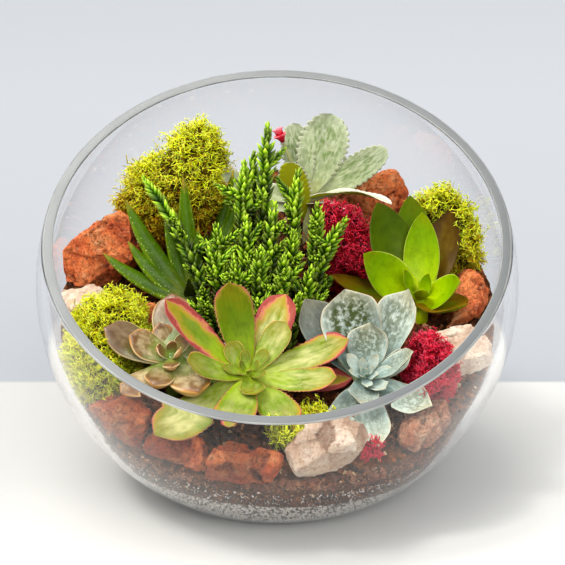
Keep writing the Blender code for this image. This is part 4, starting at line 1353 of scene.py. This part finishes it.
def build_flower(stalk_end, way, draw):
    """A red bud: four folded petals, and four more that have opened."""
    paint = Paint("red_petals", 0.5, Specular_IOR_Level=0.25)
    stops = (0.0, (110, 0, 20)), (0.6, (190, 4, 36)), (1.0, (240, 120, 130))
    paint.colour(paint.ramp(paint.value("along"), *stops))
    side, over = across_of(way)
    soup = Soup()
    form = LeafForm(0.55, 0.5, 0.5, 0.30, 0.30, -0.12)
    start = stalk_end + way * 0.5 * MM
    for i in range(8):
        inner = i < 4
        turn = 2 * np.pi * i / 4 + (0 if inner else 0.8)
        out = side * math.cos(turn) + over * math.sin(turn)
        lean = unit(way * (1.0 if inner else 0.75) + out * (0.30 if inner else 0.75))
        size = (6.6 if inner else 4.6) * MM
        face = -out if inner else way
        points, values = leaf_points(start + out * 0.5 * MM, lean, face, size, 3.6 * MM, form, draw, 14, 8)
        soup.add(points[None], tube_faces(14, 8), along=values["along"])
    stands_for(soup.build("kalanchoe_bud", paint.mat), "kalanchoe_flower")


# The whole


# How the visual piece differs from the plain CAD node: its scale, and its move in mm.
FITS = {
    "pale_stone_right": ((1.2, 1.0, 1.2), (-3, -4, 1)),
    "pale_stone_front": ((1.02, 1.0, 0.88), (-1, 0, -0.5)),
    "red_moss_right": ((0.78, 0.9, 0.82), (-2.5, 1, 1.5)), "moss_right": ((0.92, 1.0, 1.0), (-0.5, 0, -5)),
    "red_stone_right": ((0.85, 1.0, 0.72), (-2, 0, -5)), "moss_front": ((1.0, 1.0, 0.9), (6.0, 1.5, 2)),
    "moss_back_left": ((0.95, 1.0, 0.94), (0.5, 0, -1.5)),
    "red_moss_front": ((0.8, 1.0, 1.1), (-3.5, 0, 3)),
}
# Each stone's brightness, partly its own and partly painted light and shade: most front stones are painted
# darker, as painted shade, and the back right one lighter, as painted light where a leaf shades it.
STONE_TONES_AND_LIGHT = {
    "red_stone_front": 0.3, "red_stone_front_left": 0.5, "red_stone_left": 0.6,
    "red_stone_front_right": 1.3,
    "red_stone_back_left": 1.0, "red_stone_back_right": 1.25, "pale_stone_front": 0.65,
    "red_stone_right": 1.1,
}


def build_all():
    stands_for(build_bowl(), "glass_bowl")
    stands_for(build_gravel(), "drainage_gravel")
    stands_for(build_soil(), "potting_soil")
    build_crumbs()
    red = stone_material(
        "red_volcanic_rock",
        [(0.30, (176, 70, 34)), (0.45, (224, 110, 56)), (0.58, (242, 142, 82)), (0.72, (252, 186, 132))],
        srgb(96, 30, 12), srgb(252, 192, 142), 700,
    )
    pale = stone_material(
        "pale_sandstone",
        [(0.32, (224, 190, 164)), (0.50, (242, 220, 194)), (0.68, (250, 240, 222))],
        srgb(196, 154, 126), srgb(252, 243, 228), 560,
    )
    brown = stone_material(
        "brown_rock_chips",
        [(0.30, (120, 66, 42)), (0.45, (164, 100, 70)), (0.58, (192, 134, 100)), (0.72, (224, 182, 148))],
        srgb(64, 30, 16), srgb(236, 206, 176), 700,
    )
    build_chips(brown)
    for i, node in enumerate(sorted(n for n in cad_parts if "_stone_" in n)):
        is_red = node.startswith("red")
        tone_and_light = STONE_TONES_AND_LIGHT.get(node, 0.95)
        rock = brown if node == "red_stone_front_right" else red if is_red else pale
        depth = 2.7 if node == "red_stone_front" else 1.6 if is_red else 1.1
        obj = build_stone(node, rock, depth * MM, i + 2, tone_and_light)
        stands_for(obj, node)
    # The last colour of each moss, the browner one, goes low on the cushion and in sunken tufts: partly older
    # moss, partly painted shade.
    green = strand_material(
        "green_moss_strands", srgb(104, 82, 0), srgb(238, 236, 0), srgb(252, 253, 74), srgb(172, 100, 0)
    )
    crimson = strand_material(
        "red_moss_strands", srgb(96, 0, 6), srgb(226, 4, 38), srgb(250, 60, 96), srgb(130, 4, 14)
    )
    cores = []
    for name, dark, light in (
        ("green_moss_core", srgb(24, 16, 0), srgb(92, 74, 0)),
        ("red_moss_core", srgb(40, 0, 4), srgb(130, 4, 18))
    ):
        cores.append(Paint(name, 0.95, Specular_IOR_Level=0.1))
        cores[-1].colour(cores[-1].ramp(cores[-1].noise(500), (0.35, dark), (0.7, light)))
    plan = {
        "moss_back_left": (3500, 0.8, 1.25), "moss_left": (2900, 0.0, 1.15), "moss_right": (1800, 0.5, 1.1),
        "moss_front": (900, 0.0, 1.1), "red_moss_middle": (1700, 0.9, 0.75),
        "red_moss_right": (1600, 0.2, 0.9),
        "red_moss_front": (170, 0.2, 0.6),
    }
    for i, (node, (count, age, size)) in enumerate(plan.items()):
        is_red = node.startswith("red")
        obj = build_moss(node, crimson if is_red else green, cores[is_red].mat, count, 60 + i, age, size)
        stands_for(obj, node)
    build_aeonium()
    build_echeveria()
    build_green_rosette()
    build_ghost_plant()
    spiky = haworthia_material()
    finish = dict(rings=26, sides=12)
    looks = {i: (0.55, 0.0, 0) for i in range(7)} | {3: (0.75, 0.3, 0), 4: (0.65, 0.2, 0)}
    changes = {
        0: dict(length=42, width=10), 1: dict(width=10), 2: dict(width=11), 3: dict(width=9),
        4: dict(width=8)
    }
    build_rosette("haworthia", "haworthia_leaves", spiky, 25, finish, looks, (0.7, 0.2, 0), changes)
    looks = {0: (1.0, 0.5, 0), 1: (0.9, 0.3, 0), 2: (0.7, 0.2, 0)}
    build_rosette("haworthia_back", "haworthia_back_leaves", spiky, 26, finish, looks, (0.8, 0.2, 0))
    build_kalanchoe()
    scales = crassula_material()
    for number, (foot, tip) in enumerate(CRASSULA_STEMS, 1):
        build_crassula(number, foot, tip, scales)


def build_camera():
    data = bpy.data.cameras.new("camera")
    camera = bpy.data.objects.new("camera", data)
    bpy.context.scene.collection.objects.link(camera)
    data.lens, data.sensor_width, data.clip_start = 150.75, 36.0, 0.01
    rise = math.radians(20)
    look = Vector((0, math.cos(rise), -math.sin(rise)))
    camera.location = Vector((0.0022, 0, 0.0906)) - look
    camera.rotation_euler = look.to_track_quat("-Z", "Y").to_euler()
    bpy.context.scene.camera = camera


TABLE_COLOUR = (203, 202, 198)
BACKDROP_COLOUR = (163, 166, 170)


def build_stage():
    paint = Paint("studio_floor", 0.7, Specular_IOR_Level=0.2)
    depth = paint.node("SeparateXYZ", {"Vector": paint.place}).outputs["Y"]
    aside = paint.node("SeparateXYZ", {"Vector": paint.place}).outputs["X"]

    def shaded(colour, *fades):
        """The colour dimmed along each fade as painted shade: what it follows, from and to where, and both
        greys.
        """
        for follows, low, high, first, last in fades:
            grey = paint.ramp(paint.span(follows, low, high), (0.0, first), (1.0, last))
            colour = paint.times(colour, grey)
        return colour

    # Painted shade: the table is darker towards the left and from just in front of the bowl backwards; the
    # backdrop is darker towards the left and near the table's far edge.
    near = shaded(srgb(*TABLE_COLOUR), (aside, -0.12, 0.12, 0.834, 1.0), (depth, -0.08, 0.0, 1.0, 0.844))
    far = shaded(srgb(*BACKDROP_COLOUR), (aside, -0.25, 0.35, 0.90, 1.0), (depth, 0.11, 0.60, 0.87, 1.0))
    paint.colour(paint.mix(paint.ramp(paint.span(depth, 0.1, 0.12), (0.42, 0.0), (0.58, 1.0)), near, far))
    size = 4.0
    mesh = bpy.data.meshes.new("floor")
    corners = [(-size, -size, 0), (size, -size, 0), (size, size, 0), (-size, size, 0)]
    mesh.from_pydata(corners, [], [(0, 1, 2, 3)])
    floor = place("floor", mesh, paint.mat)
    floor.location.z = -0.2 * MM


def area_light(name, at, target, size, power, colour=(1, 1, 1)):
    data = bpy.data.lights.new(name, "AREA")
    data.shape, data.size, data.size_y = "RECTANGLE", size[0], size[1]
    data.energy, data.color = power, colour
    lamp = bpy.data.objects.new(name, data)
    lamp.location = at
    lamp.rotation_euler = (Vector(target) - Vector(at)).to_track_quat("-Z", "Y").to_euler()
    bpy.context.scene.collection.objects.link(lamp)


def build_lights():
    world = bpy.data.worlds.new("studio")
    world.use_nodes = True
    tree = world.node_tree
    way = tree.nodes.new("ShaderNodeSeparateXYZ")
    tree.links.new(tree.nodes.new("ShaderNodeTexCoord").outputs["Generated"], way.inputs[0])
    aside = tree.nodes.new("ShaderNodeMath")
    aside.operation = "ABSOLUTE"
    tree.links.new(way.outputs["X"], aside.inputs[0])
    shade = tree.nodes.new("ShaderNodeValToRGB")
    for mark, (at, colour) in zip(
        shade.color_ramp.elements, ((0.5, (0.94, 0.96, 1.0, 1)), (0.9, (0.42, 0.43, 0.45, 1)))
    ):
        mark.position, mark.color = at, colour
    tree.links.new(aside.outputs[0], shade.inputs[0])
    back = tree.nodes["Background"]
    tree.links.new(shade.outputs["Color"], back.inputs["Color"])
    back.inputs["Strength"].default_value = 1.02
    bpy.context.scene.world = world
    area_light("key", (-1.3, -0.1, 2.7), (0, 0, 0.08), (3.0, 3.0), 102.0, (1.0, 0.98, 0.94))
    area_light("sparkle", (-1.1, -0.7, 2.5), (0, 0, 0.08), (0.4, 0.4), 34.0, (1.0, 0.98, 0.94))
    area_light("front", (0.9, -2.6, 2.2), (0, 0, 0.08), (2.0, 1.4), 70.0)
    bpy.context.scene.view_settings.view_transform = "Standard"


build_camera()
build_stage()
build_lights()
build_all()
